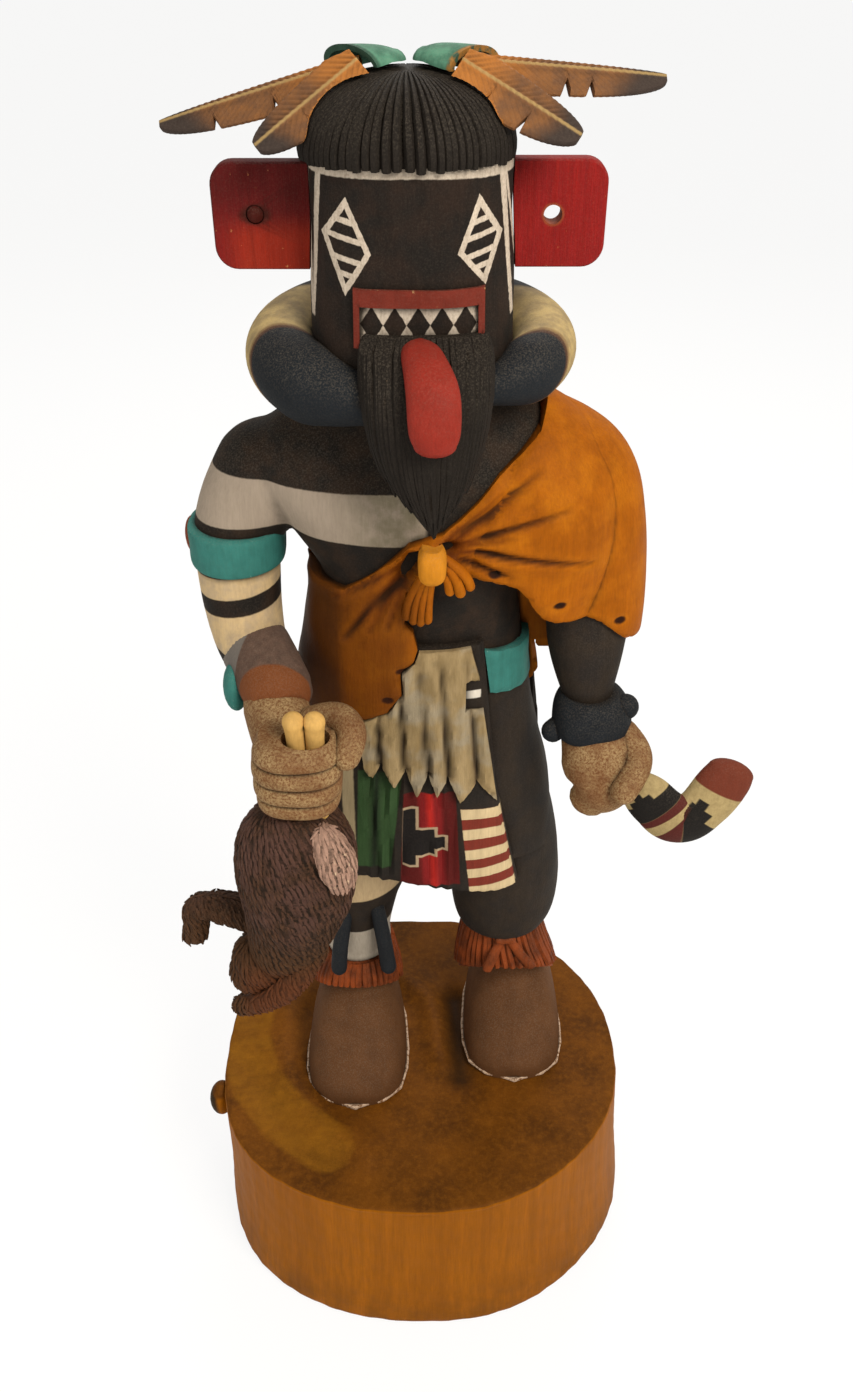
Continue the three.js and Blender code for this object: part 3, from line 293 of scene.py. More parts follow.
def opaque(name):
    """A colour given by the name of its setting or by its code."""
    colours = bpy.context.scene.doll_colours
    return (*(getattr(colours, name) if hasattr(colours, name) else rgb(name)), 1)


# Numbers on a surface, written as sums

class Reading:
    """A number that changes over a surface, kept as a node's output."""

    def __init__(self, tree, socket):
        self.tree = tree
        self.socket = socket

    def math(self, operation, *others):
        inputs = dict(enumerate((self, *others)))
        node = add_node(self.tree, "ShaderNodeMath", inputs, operation=operation)
        return Reading(self.tree, node.outputs[0])

    def __add__(self, other):
        return self.math("ADD", other)

    def __sub__(self, other):
        return self.math("SUBTRACT", other)

    def __rsub__(self, other):
        return self * -1 + other

    def __mul__(self, other):
        return self.math("MULTIPLY", other)

    def __neg__(self):
        return self.math("MULTIPLY", -1)

    def __abs__(self):
        return self.math("ABSOLUTE")

    def over(self, edge, soft=0.08):
        """1 where the number is over an edge, 0 where it is under, with a soft step."""
        step = {"Value": self, "From Min": edge - soft, "From Max": edge + soft}
        node = add_node(self.tree, "ShaderNodeMapRange", step, interpolation_type="SMOOTHSTEP")
        return Reading(self.tree, node.outputs["Result"])

    def under(self, edge, soft=0.08):
        return (-self).over(-edge, soft)

    def within(self, low, high, soft=0.08):
        return self.over(low, soft) * self.under(high, soft)

    def most(self, other):
        return self.math("MAXIMUM", other)

    def least(self, other):
        return self.math("MINIMUM", other)

    def without(self, other):
        """This mask where the other one is not."""
        return self * ((-other) + 1)


def feed(tree, value, socket):
    """Links a reading or a socket to a socket, or sets its plain value or its colour."""
    if isinstance(value, Reading):
        tree.links.new(value.socket, socket)
    elif isinstance(value, bpy.types.NodeSocket):
        tree.links.new(value, socket)
    elif isinstance(value, str):
        socket.default_value = opaque(value)
    else:
        socket.default_value = value


def add_node(tree, kind, inputs=(), **settings):
    """A new node with its settings, and with its inputs linked or set by their labels."""
    node = tree.nodes.new(kind)
    for label, value in settings.items():
        setattr(node, label, value)
    for label, value in dict(inputs).items():
        feed(tree, value, node.inputs[label])
    return node


def group_of(name, inputs, outputs):
    """An empty shader node group with named sockets, and its two end nodes."""
    tree = bpy.data.node_groups.new(name, "ShaderNodeTree")
    for label, kind in inputs:
        tree.interface.new_socket(name=label, in_out="INPUT", socket_type="NodeSocket" + kind)
    for label, kind in outputs:
        tree.interface.new_socket(name=label, in_out="OUTPUT", socket_type="NodeSocket" + kind)
    return tree, tree.nodes.new("NodeGroupInput"), tree.nodes.new("NodeGroupOutput")


def noise(tree, vector, scale, detail=3.0, roughness=0.55):
    return add_node(tree, "ShaderNodeTexNoise", {
        "Vector": vector, "Scale": scale, "Detail": detail, "Roughness": roughness,
    })


def vector_math(tree, operation, first, second):
    inputs = {0: first, "Scale" if operation == "SCALE" else 1: second}
    return add_node(tree, "ShaderNodeVectorMath", inputs, operation=operation).outputs[0]


def mix(tree, factor, first, second, blend="MIX"):
    inputs = {0: factor, 6: first, 7: second}
    return add_node(tree, "ShaderNodeMix", inputs, data_type="RGBA", blend_type=blend).outputs[2]


def axes(tree, vector):
    """The three readings of a vector."""
    node = add_node(tree, "ShaderNodeSeparateXYZ", {0: vector})
    return [Reading(tree, socket) for socket in node.outputs]


def brushed_place():
    """Wanders a place a little, so that what is painted there has a hand's edge."""
    name = "Brushed place"
    if name in bpy.data.node_groups:
        return bpy.data.node_groups[name]
    tree, start, end = group_of(
        name, [("Place", "Vector"), ("Wander", "Float"), ("Fineness", "Float")], [("Place", "Vector")],
    )
    drift = noise(tree, start.outputs["Place"], start.outputs["Fineness"], 2.0)
    centred = vector_math(tree, "SUBTRACT", drift.outputs["Color"], (0.5, 0.5, 0.5))
    moved = vector_math(tree, "SCALE", centred, start.outputs["Wander"])
    tree.links.new(vector_math(tree, "ADD", start.outputs["Place"], moved), end.inputs["Place"])
    return tree


def wood_grain():
    """Streaks that run along Z: broad tones and fine fibres, both from 0 to 1."""
    name = "Wood grain"
    if name in bpy.data.node_groups:
        return bpy.data.node_groups[name]
    tree, start, end = group_of(
        name, [("Place", "Vector"), ("Fineness", "Float"), ("Flatten", "Vector")],
        [("Tone", "Float"), ("Fibre", "Float")],
    )
    flat = vector_math(tree, "MULTIPLY", start.outputs["Place"], start.outputs["Flatten"])
    tone = noise(tree, flat, start.outputs["Fineness"], 3.0, 0.6)
    finer = Reading(tree, start.outputs["Fineness"]) * 5
    fibre = noise(tree, flat, finer, 4.0, 0.7)
    tree.links.new(tone.outputs["Fac"], end.inputs["Tone"])
    tree.links.new(fibre.outputs["Fac"], end.inputs["Fibre"])
    return tree


def worn_paint():
    """Rubs paint off the raised edges and in small chips, down to bare wood."""
    name = "Worn paint"
    if name in bpy.data.node_groups:
        return bpy.data.node_groups[name]
    tree, start, end = group_of(
        name,
        [("Paint", "Color"), ("Bare", "Color"), ("Place", "Vector"), ("Edge", "Float"),
         ("Amount", "Float"), ("Fibre", "Float")],
        [("Colour", "Color"), ("Bared", "Float")],
    )
    patches = Reading(tree, noise(tree, start.outputs["Place"], 0.55, 5.0, 0.7).outputs["Fac"])
    edge = Reading(tree, start.outputs["Edge"])
    fibre = Reading(tree, start.outputs["Fibre"])
    amount = Reading(tree, start.outputs["Amount"])
    rubbed = patches + edge * 0.5 * amount + (fibre - 0.5) * 0.35 + (amount * 0.12)
    bared = rubbed.over(0.86, 0.05)
    tree.links.new(mix(tree, bared, start.outputs["Paint"], start.outputs["Bare"]), end.inputs["Colour"])
    tree.links.new(bared.socket, end.inputs["Bared"])
    return tree


def dust_and_recess_shade():
    """Darkens deep places and leaves pale dust on faces that look up."""
    name = "Settled dust"
    if name in bpy.data.node_groups:
        return bpy.data.node_groups[name]
    tree, start, end = group_of(
        name,
        [("Colour", "Color"), ("Place", "Vector"), ("Recess", "Float"), ("Grime", "Float"),
         ("Dust", "Float")],
        [("Colour", "Color"), ("Dusted", "Float")],
    )
    recess = Reading(tree, start.outputs["Recess"])
    # Painted shade: the colour darkens in recesses, where shade falls.
    shade = (recess * 1.4 * Reading(tree, start.outputs["Grime"])).least(0.85)
    dark = mix(tree, shade, start.outputs["Colour"], (0.008, 0.005, 0.003, 1))
    _, _, up = axes(tree, tree.nodes.new("ShaderNodeNewGeometry").outputs["Normal"])
    speckle = Reading(tree, noise(tree, start.outputs["Place"], 2.6, 6.0, 0.75).outputs["Fac"])
    lying = up.over(0.35, 0.5)
    dusted = speckle.over(0.56, 0.12) * (lying * 0.8 + 0.2) * Reading(tree, start.outputs["Dust"])
    tree.links.new(mix(tree, dusted, dark, (0.30, 0.25, 0.19, 1)), end.inputs["Colour"])
    tree.links.new(dusted.socket, end.inputs["Dusted"])
    return tree


class Finish:
    """One material, built up from readings of the place on the surface."""

    def __init__(self, name, wander=0.25, fineness=0.9):
        self.material = bpy.data.materials.new(name)
        self.material.use_nodes = True
        self.tree = self.material.node_tree
        self.shader = self.tree.nodes["Principled BSDF"]
        place = self.tree.nodes.new("ShaderNodeTexCoord").outputs["Object"]
        self.exact = vector_math(self.tree, "SCALE", place, 1 / MM)
        brushed = self.group(brushed_place(), Place=self.exact, Wander=wander, Fineness=fineness)
        self.x, self.y, self.z = axes(self.tree, brushed.outputs["Place"])

    def group(self, tree, **values):
        return add_node(self.tree, "ShaderNodeGroup", values, node_tree=tree)

    def mark(self, name):
        """A number kept on the mesh's own points."""
        node = add_node(self.tree, "ShaderNodeAttribute", attribute_name=name)
        return Reading(self.tree, node.outputs["Fac"])

    def cloud(self, scale, detail=4.0, roughness=0.6, flatten=(1, 1, 1)):
        """Soft noise from 0 to 1."""
        vector = vector_math(self.tree, "MULTIPLY", self.exact, flatten)
        return Reading(self.tree, noise(self.tree, vector, scale, detail, roughness).outputs["Fac"])

    def mix(self, factor, first, second, blend="MIX"):
        return mix(self.tree, factor, first, second, blend)

    def box(self, low_x, high_x, low_z, high_z, soft=0.08):
        return self.x.within(low_x, high_x, soft) * self.z.within(low_z, high_z, soft)

    def finish(self, colour, bare=None, wear=0.5, recess_shade=0.8, dust=0.15, grain=0.25, fineness=0.35,
               flatten=(1, 1, 0.09), roughness=0.72, bump=0.25, gloss=0.08, height=None):
        """Adds grain, wear, grime and dust to a painted colour, and links it to the shader."""
        streaks = self.group(wood_grain(), Place=self.exact, Fineness=fineness, Flatten=flatten)
        tone = Reading(self.tree, streaks.outputs["Tone"])
        fibre = Reading(self.tree, streaks.outputs["Fibre"])
        shade = self.mix((tone - 0.5) * 1.6 + 0.5, (0.62, 0.6, 0.58, 1), (1.34, 1.34, 1.34, 1))
        toned = self.mix(grain, colour, self.mix(1.0, colour, shade, "MULTIPLY"))
        streak = self.mix(fibre.over(0.5, 0.22), (0.72, 0.7, 0.68, 1), (1.22, 1.22, 1.22, 1))
        fibred = self.mix(grain, toned, self.mix(1.0, toned, streak, "MULTIPLY"))
        worn = self.group(
            worn_paint(), Paint=fibred, Bare=bare or "bare", Place=self.exact,
            Edge=self.mark("edge"), Amount=wear * sizes().wear * 2, Fibre=fibre,
        )
        # Painted shade in recesses, then pale dust on faces that look up.
        dust_and_shade = self.group(
            dust_and_recess_shade(), Colour=worn.outputs["Colour"], Place=self.exact,
            Recess=self.mark("recess"), Grime=recess_shade, Dust=dust,
        )
        self.tree.links.new(dust_and_shade.outputs["Colour"], self.shader.inputs["Base Color"])
        rough = (fibre - 0.5) * 0.18 + roughness
        rough = rough + Reading(self.tree, dust_and_shade.outputs["Dusted"]) * 0.15
        self.tree.links.new(rough.socket, self.shader.inputs["Roughness"])
        self.shader.inputs["Specular IOR Level"].default_value = gloss
        relief = fibre * 0.6 - Reading(self.tree, worn.outputs["Bared"]) * 0.5
        relief = relief + self.cloud(0.9, 5.0, 0.65) * 0.9
        if height is not None:
            relief = relief + height
        bumps = add_node(self.tree, "ShaderNodeBump", {
            "Strength": bump, "Distance": 0.5 * MM, "Height": relief,
        })
        self.tree.links.new(bumps.outputs["Normal"], self.shader.inputs["Normal"])
        return self.material


# Finishes of the doll

def body_black():
    """Black body with the pale chest band and the cream rings of the right arm."""
    f = Finish("body black")
    lift = f.x * 0.012
    upper = f.z - lift
    chest = upper.within(262.2, 274.6, 0.2) * f.x.under(3, 0.6) * f.y.under(40)
    smudge = f.x.over(-12, 9) * f.cloud(0.25).over(0.42, 0.2) * 0.75
    white = f.mix(smudge, "white", "66604a")
    white = f.mix(f.cloud(1.2, 5, 0.7, (1, 1, 0.2)).over(0.56, 0.1) * 0.35, white, "8e8272")
    brown = f.mix(f.cloud(0.16, 4).over(0.52, 0.16) * 0.55, "black", "34261c")
    chip = f.box(-1.6, 1.6, 240.6, 242.4, 0.3)
    colour = f.mix(chest.most(chip), brown, white)
    level = f.z - (f.x + 44) * 0.12
    ring = level.within(243.2, 248.8, 0.2).most(level.within(229, 238.6, 0.25)) * f.x.under(-30, 0.2)
    cream = f.mix(f.cloud(0.3, 4).over(0.5, 0.2), "bea57c", "a8957a")
    return f.finish(f.mix(ring, colour, cream), wear=0.3, bare="5a4432")


def leg_bands():
    """Legs: black, with the cream knee band and the white shin of the right leg."""
    f = Finish("leg bands")
    right = f.x.under(0, 0.3)
    knee = (f.z - f.x * 0.2).within(139.4, 152, 0.4) * right
    shin = f.z.under(118.5, 0.3) * right
    brown = f.mix(f.cloud(0.14).over(0.5, 0.2) * 0.5, "231f1d", "33291f")
    colour = f.mix(knee, brown, "b09a78")
    colour = f.mix(shin, colour, "9c9488")
    return f.finish(colour, wear=0.3, grain=0.4, bare="50402f")


def outline_gap(f, corners):
    """How far a place is outside a convex outline, seen from the front; negative inside."""
    gap = None
    for (x, z), (next_x, next_z) in zip(corners, corners[1:] + corners[:1]):
        length = math.hypot(next_x - x, next_z - z)
        away = (f.x - x) * ((next_z - z) / length) - (f.z - z) * ((next_x - x) / length)
        gap = away if gap is None else gap.most(away)
    return gap


def mask_paint():
    """Black mask with white frame lines, barred eyes and toothed mouth."""
    f = Finish("mask paint", wander=0.35)
    white = None
    for corners, lean, centre_x, levels in EYES:
        gap = outline_gap(f, corners)
        tilted = f.z - (f.x - centre_x) * lean
        bars = None
        for level in levels:
            bar = tilted.within(level - 0.55, level + 0.55, 0.1)
            bars = bar if bars is None else bars.most(bar)
        eye = gap.under(0, 0.06) * gap.over(-1.1, 0.06).most(bars)
        white = eye if white is None else white.most(eye)
    top = (f.z + f.x * f.x * 0.0012).over(341.3, 0.15)
    taper = (f.z - 313) * 0.009
    left_line = (abs(f.x + 18.1 + (340.8 - f.z) * 0.0863) - taper).under(0.35, 0.1)
    right_line = (abs(f.x - 18 - (338.7 - f.z) * 0.108) - taper).under(0.35, 0.1)
    outer_left = f.x.within(-20.95, -20.45, 0.1)
    outer_right = abs(f.x - 19 - (338 - f.z) * 0.164).under(0.24, 0.1)
    lines = left_line.most(right_line).most(outer_left).most(outer_right) * f.z.over(313, 0.3)
    white = white.most(top.most(lines) * f.y.under(-1.5, 0.3))
    mouth = f.box(-10.5, 13.5, 309, 317.7, 0.05)
    step = (f.x + 10.4) * (1 / 4.72)
    across = abs(step.math("FRACT") - 0.5) * 2
    tooth = (across + abs(f.z - 313.9) * (1 / 3.7)).over(1, 0.05)
    white = white.without(mouth).most(mouth * tooth) * f.y.under(-1.5, 0.2)
    brown = f.mix(f.cloud(0.13).over(0.5, 0.18) * 0.6, "black", "2e211a")
    chalk = f.mix(f.cloud(1.5, 5, 0.7).over(0.55, 0.12) * 0.5, "bdb1a2", "8a7b6c")
    return f.finish(f.mix(white, brown, chalk), wear=0.2, grain=0.45, fineness=0.6, dust=0.14)


def ruff_paint():
    """Ruff: blue-black rolls in front, cream sides and a dark back."""
    f = Finish("ruff paint", wander=0.5, fineness=0.3)
    slanted = f.y - (f.z - 300) * 0.55 - abs(f.x) * 0.12
    cream = slanted.over(-13.5, 0.5) * f.y.under(17, 1.2)
    mottled = f.mix(f.cloud(0.22).over(0.5, 0.2), "cream", "8c7a58")
    edge_stain = slanted.within(-14.5, -12.6, 0.5) * 0.6
    colour = f.mix(cream, "blue_black", mottled)
    colour = f.mix(edge_stain, colour, "5c3c28")
    return f.finish(colour, wear=0.2, dust=0.2, bare="54463a")


def cloth_stain():
    """Ochre cloth: mottled stain, dark creases and small dark holes."""
    f = Finish("cloth stain", wander=0.3)
    patches = f.cloud(0.07, 4, 0.6).over(0.5, 0.2)
    colour = f.mix(patches * 0.75, "ochre", "7e4207")
    bright = f.cloud(0.12, 3).over(0.56, 0.14) * 0.6
    colour = f.mix(bright, colour, "a8620d")
    speckle = f.cloud(1.7, 5, 0.75).over(0.58, 0.1) * 0.35
    colour = f.mix(speckle, colour, "8a4a12")
    # Painted shade over the cloth's lower part on the doll's right, deepest towards its outer edge.
    colour = f.mix((-f.x).over(-1, 5) * f.z.under(253, 8) * 0.65, colour, "3e1f08")
    colour = f.mix((-f.x).over(18, 2) * f.z.under(250, 6) * 0.7, colour, "301a0a")
    # Painted shade in the creases.
    colour = f.mix(f.mark("crease"), colour, "ochre_crease_shade")
    # Painted shade in the small holes.
    for hole_x, hole_z in CLOTH_HOLES:
        away = (f.x - hole_x) * (f.x - hole_x) * 0.4 + (f.z - hole_z) * (f.z - hole_z)
        hole = away.under(0.9, 0.5) * f.y.under(0)
        colour = f.mix(hole, colour, "30160a")
    return f.finish(colour, bare="a8742c", wear=0.25, grain=0.35, fineness=0.4, dust=0.02,
                    recess_shade=1.0, roughness=0.6, gloss=0.05)


def plain(name, colour, mottle=0.3, mottled=0.5, **settings):
    """A finish of one mottled colour, given by its name or its code."""
    f = Finish(name)
    base = opaque(colour)
    dark = tuple(c * 0.6 for c in base[:3]) + (1,)
    return f.finish(f.mix(f.cloud(mottle).over(0.52, 0.2) * mottled, base, dark), **settings)


def kilt_paint():
    """Kilt: dark, with green pleats, a stepped red panel and a striped panel on its front."""
    f = Finish("kilt paint", wander=0.3, fineness=0.7)
    front = f.y.under(2, 0.5)
    dark = f.mix(f.cloud(0.12).over(0.5, 0.2) * 0.5, "1f1c1a", "30261e")
    height = f.z - 190
    green = (f.x - height * 0.04).over(-15.1, 0.3) * (f.x - height * 0.108).under(-4, 0.3)
    green = green * f.z.within(163.5, 196, 0.4)
    # Painted shade down the valley of one pleat.
    valley = abs(f.x - height * 0.048 + 10.2).under(0.9, 1.3)
    pleated = f.cloud(0.4, 4, 0.6, (1, 1, 0.1)).over(0.5, 0.25)
    pleats = f.mix(pleated * 0.5, "kilt_green", "1f331c")
    colour = f.mix(green, dark, f.mix(valley, pleats, "141d13"))
    right_side = f.x + height * 0.05
    panel = (f.x - height * 0.0375).over(-3, 0.25) * right_side.under(10.7, 0.25)
    panel = panel * f.z.within(156.6, 189.5, 0.3)
    # Painted shade at the red panel's sides and a painted highlight down its middle, standing in for the
    # light on its flutes.
    red = f.mix(right_side.within(0.6, 6.8, 0.9), "4e1110", "kilt_red")
    red = f.mix(right_side.within(2.8, 4.4, 0.9), red, "a5221c")
    colour = f.mix(panel, colour, red)
    step = f.box(-3.6, 0.1, 165.2, 184, 0.15)
    step = step.most(f.box(-3.6, 5.2, 168.6, 177.2, 0.15)).most(f.box(-3.6, 8, 170.4, 174.4, 0.15))
    rim = f.box(-3.6, 0.9, 164.4, 184.8, 0.15)
    rim = rim.most(f.box(-3.6, 6, 167.8, 178, 0.15)).most(f.box(-3.6, 8.8, 169.6, 175.2, 0.15))
    colour = f.mix(rim * panel, colour, "a08c72")
    colour = f.mix(step * panel, colour, "191616")
    slant = f.z + (f.x - 20) * 0.12
    left_edge = f.x - (185 - f.z) * 0.1
    right_edge = f.x - (185 - f.z) * 0.18
    stripes = left_edge.over(11.9, 0.15) * right_edge.under(22.3, 0.2) * slant.within(150.9, 182.9, 0.2)
    fraction = ((slant - 150.9) * (1 / 7.11)).math("FRACT")
    bars = f.mix(fraction.under(0.5, 0.03), "mouth_red", "bca985")
    colour = f.mix(stripes, colour, bars)
    pale = f.box(-19.4, -16.2, 166, 196.5, 0.3)
    colour = f.mix(pale, colour, "948568")
    notch = f.box(12.4, 16.6, 218.4, 220.8, 0.2)
    colour = f.mix(notch, colour, "c8c2b8")
    return f.finish(f.mix(front, dark, colour), wear=0.25, grain=0.4, bare="5a4835", dust=0.1)


def apron_paint():
    """Apron: pale skin, browner in its grooves."""
    f = Finish("apron paint", wander=0.2)
    streak = f.cloud(0.3, 4, 0.6, (1, 1, 0.2)).over(0.5, 0.2)
    colour = f.mix(streak, "7c6948", "apron")
    colour = f.mix(f.cloud(0.1, 3).over(0.55, 0.1) * 0.35, colour, "8f9089")
    # Painted shade in the grooves between the locks.
    colour = f.mix(f.mark("crease"), colour, "4c3d2b")
    return f.finish(colour, wear=0.2, grain=0.2, fineness=0.5, dust=0.15, recess_shade=1.0,
                    height=f.cloud(0.5, 4, 0.6, (1, 1, 0.15)) * 1.6, bump=0.4)


def hand_paint():
    """Hands: brown stain under a pale, fine dusting."""
    f = Finish("hand paint")
    patches = f.cloud(1.7, 6, 0.8).over(0.5, 0.12)
    thin = f.cloud(0.12, 3).over(0.46, 0.22) * 0.7 + 0.15
    colour = f.mix(f.cloud(0.4).over(0.5, 0.2) * 0.6, "hand", "5c371f")
    colour = f.mix(patches * thin, colour, "dusting")
    # Painted shade wherever the crease mark is set.
    colour = f.mix(f.mark("crease") * 0.85, colour, "4a2114")
    return f.finish(colour, bare="dusting", wear=0.3, dust=0.1, grain=0.15)


def guard_paint():
    """Bow guard: grey-brown leather, an orange lower edge and a grey side plate."""
    f = Finish("guard paint")
    colour = f.mix(f.cloud(0.5, 5).over(0.5, 0.2) * 0.6, "leather", "40322c")
    colour = f.mix((-(f.y + 3)).over(16, 0.4), colour, "6c3d20")
    colour = f.mix((f.y * 0.48 - f.x).over(36.2, 0.3), colour, "67615c")
    return f.finish(colour, wear=0.4, bare="8a6a52", dust=0.15)


def cuff_paint():
    """Fringed cuffs: rust, darker between the strands."""
    f = Finish("cuff paint")
    # Dark upright streaks: painted shade between the strands.
    colour = f.mix(f.cloud(0.5, 5, 0.7, (1, 1, 0.3)).over(0.5, 0.2), "rust", "48210f")
    warm = f.cloud(0.1, 3).over(0.52, 0.12) * 0.6
    colour = f.mix(warm, colour, "8a3f18")
    return f.finish(colour, wear=0.3, bare="b37a48", dust=0.15, recess_shade=1.0)


def sole_paint():
    """Chipped pale edge of the moccasins' soles."""
    f = Finish("sole paint")
    chips = f.cloud(0.9, 5, 0.7).over(0.46, 0.08)
    colour = f.mix(chips, "6a4626", "b9a08a")
    return f.finish(colour, wear=0.4, grain=0.2)


def stick_paint():
    """Stick: cream with stepped black figures, maroon bands and a maroon tip."""
    f = Finish("stick paint")
    along = f.mark("along")
    across = f.mark("across")
    cream = f.mix(f.cloud(0.8, 5, 0.7).over(0.5, 0.2) * 0.5, "a08e64", "7c6a49")
    black = along.within(8, 12.8, 0.15)
    black = black.most(along.within(6.2, 12.8, 0.15) * across.within(-0.62, 0.42, 0.04))
    black = black.most(along.within(4.8, 12.8, 0.15) * across.within(-0.3, 0.12, 0.04))
    second = along.within(20.1, 25.1, 0.15)
    second = second.most(along.within(20.1, 27.9, 0.15) * across.within(-0.2, 0.75, 0.04))
    second = second.most(along.within(20.1, 30.3, 0.15) * across.within(0.2, 0.62, 0.04))
    maroon = along.within(12.8, 15, 0.12).most(along.within(17.7, 20.1, 0.12)).most(along.under(2.2, 0.2))
    colour = f.mix(black.most(second), cream, "191716")
    colour = f.mix(maroon, colour, "4c201c")
    colour = f.mix(along.over(33.9, 0.2), colour, "632e20")
    return f.finish(colour, wear=0.35, grain=0.25, dust=0.1, bare="a8916a")


def fur_paint():
    """Rabbit: brown coat, redder legs below."""
    f = Finish("fur paint")
    streak = f.cloud(1.3, 5, 0.7, (1, 1, 0.35)).over(0.5, 0.16)
    colour = f.mix(streak, "2c1f17", "fur")
    violet = f.cloud(0.12, 3).over(0.5, 0.14) * f.z.over(168, 10) * 0.6
    colour = f.mix(violet, colour, "553c36")
    red = f.z.under(150, 6) * f.x.over(-46, 4) * f.y.under(-35, 2) * 0.8
    colour = f.mix(red, colour, "5f2c1a")
    low = f.z.under(160, 8) * 0.5
    colour = f.mix(low, colour, "4a3018")
    return f.finish(colour, wear=0.15, bare="6a4c3a", grain=0.3, dust=0.06, recess_shade=1.0)


def feather_paint():
    """Feathers: brown with barred tones, dark tips and a cream shaft."""
    f = Finish("feather paint")
    along = f.mark("along")
    across = f.mark("across")
    streak = f.mark("barb").math("FRACT")
    colour = f.mix(f.cloud(0.3, 4).over(0.5, 0.2), "feather", "664833")
    colour = f.mix(along.under(0.3, 0.14) * 0.7, colour, "b06f30")
    colour = f.mix(abs(streak - 0.5).under(0.16, 0.1) * 0.18, colour, "4c3526")
    colour = f.mix((along + abs(across) * 0.12).over(0.8, 0.1), colour, "3b322e")
    shaft = abs(across).under(0.045, 0.03) * f.mark("shaft")
    colour = f.mix(shaft * 0.8, colour, "a08658")
    return f.finish(colour, wear=0.3, grain=0.25, dust=0.06, bare="b98a56")


def ear_paint():
    """Ears: red over vertical grain, with the stopped hole's stain on the right one."""
    f = Finish("ear paint")
    grain = f.cloud(1.1, 5, 0.65, (1, 1, 0.05)).over(0.5, 0.2)
    colour = f.mix(grain, "7c1a1b", "ear_red")
    right = f.x.under(0)
    shadow = right * (f.z.over(331, 6) * 0.35 + 0.45)
    colour = f.mix(shadow, colour, "3a1010")
    colour = f.mix(f.x.under(-16) * f.z.under(329, 3) * f.x.over(-37, 4) * 0.5, colour, "9c2f16")
    away = (f.x + 32.1) * (f.x + 32.1) * 0.6 + (f.z - 331) * (f.z - 331) * 1.6
    colour = f.mix(away.under(6, 4) * 0.85, colour, "3a150f")
    inside_hole = (f.x - 28.9) * (f.x - 28.9) + (f.z - 331) * (f.z - 331)
    colour = f.mix(inside_hole.under(5.2, 1.4) * 0.6, colour, "8a5030")
    return f.finish(colour, wear=0.35, grain=0.5, fineness=0.7, flatten=(1, 1, 0.05),
                    bare="c08050", bump=0.5)


def block_stain():
    """Root block: dark sculpted top, pale crescent, and yellow side with upright grain."""
    f = Finish("block stain", wander=1.2, fineness=0.12)
    _, _, up = axes(f.tree, f.tree.nodes.new("ShaderNodeNewGeometry").outputs["Normal"])
    top = up.over(0.55, 0.12)
    fine = f.cloud(0.6, 6, 0.7, (1, 1, 0.035)).over(0.5, 0.2)
    broad = f.cloud(0.07, 4, 0.6, (1, 1, 0.3)).over(0.5, 0.16)
    side = f.mix(fine * 0.55, "block", "704004")
    side = f.mix(broad * 0.5, side, "7a4606")
    side = f.mix(f.z.under(14, 12) * f.cloud(0.09, 4).over(0.45, 0.15) * 0.5, side, "5a360a")
    rings = f.cloud(0.05, 5, 0.65).over(0.5, 0.16)
    ground = f.mix(rings, "block_top", "4a2a0a")
    ground = f.mix(f.cloud(0.5, 6, 0.7).over(0.55, 0.15) * 0.45, ground, "754712")
    streaks = f.cloud(0.12, 5, 0.7, (0.5, 1, 1)).over(0.5, 0.2)
    ground = f.mix(f.mark("crescent") * (streaks * 0.4 + 0.25), ground, "865812")
    # Painted shade in the carved hollow between the feet, beside the left foot.
    ground = f.mix(f.mark("hollow") * 0.8, ground, "2c1c0c")
    knot = (f.x + 66).under(0, 1) * f.z.within(46, 58, 1) * f.y.within(-15, -3, 1)
    side = f.mix(knot, side, "2e2010")
    colour = f.mix(top, side, ground)
    return f.finish(colour, bare="a86c14", wear=0.2, grain=0.35, fineness=0.4,
                    flatten=(1, 1, 0.05), roughness=0.55, gloss=0.04, dust=0.01, recess_shade=0.6)


def tie_paint():
    """Feather ties: blue-green with worn, dark mouths."""
    f = Finish("tie paint")
    colour = f.mix(f.cloud(0.3).over(0.5, 0.2) * 0.6, "green", "24493c")
    rims = None
    for side, (_, (x, y, z), way) in TIES.items():
        deep = (f.x - x) * way[0] + (f.y - y) * way[1] + (f.z - z) * way[2]
        rim = deep.under(0.7, 0.35) * (f.x * side).over(0, 0.1)
        rims = rim if rims is None else rims.most(rim)
    colour = f.mix(rims * 0.7, colour, "1f2f28")
    chipped = rims * f.x.over(0, 0.1) * f.cloud(0.6, 4).over(0.46, 0.1)
    colour = f.mix(chipped, colour, "8f6530")
    return f.finish(colour, wear=0.35, bare="6f8a72", dust=0.12)


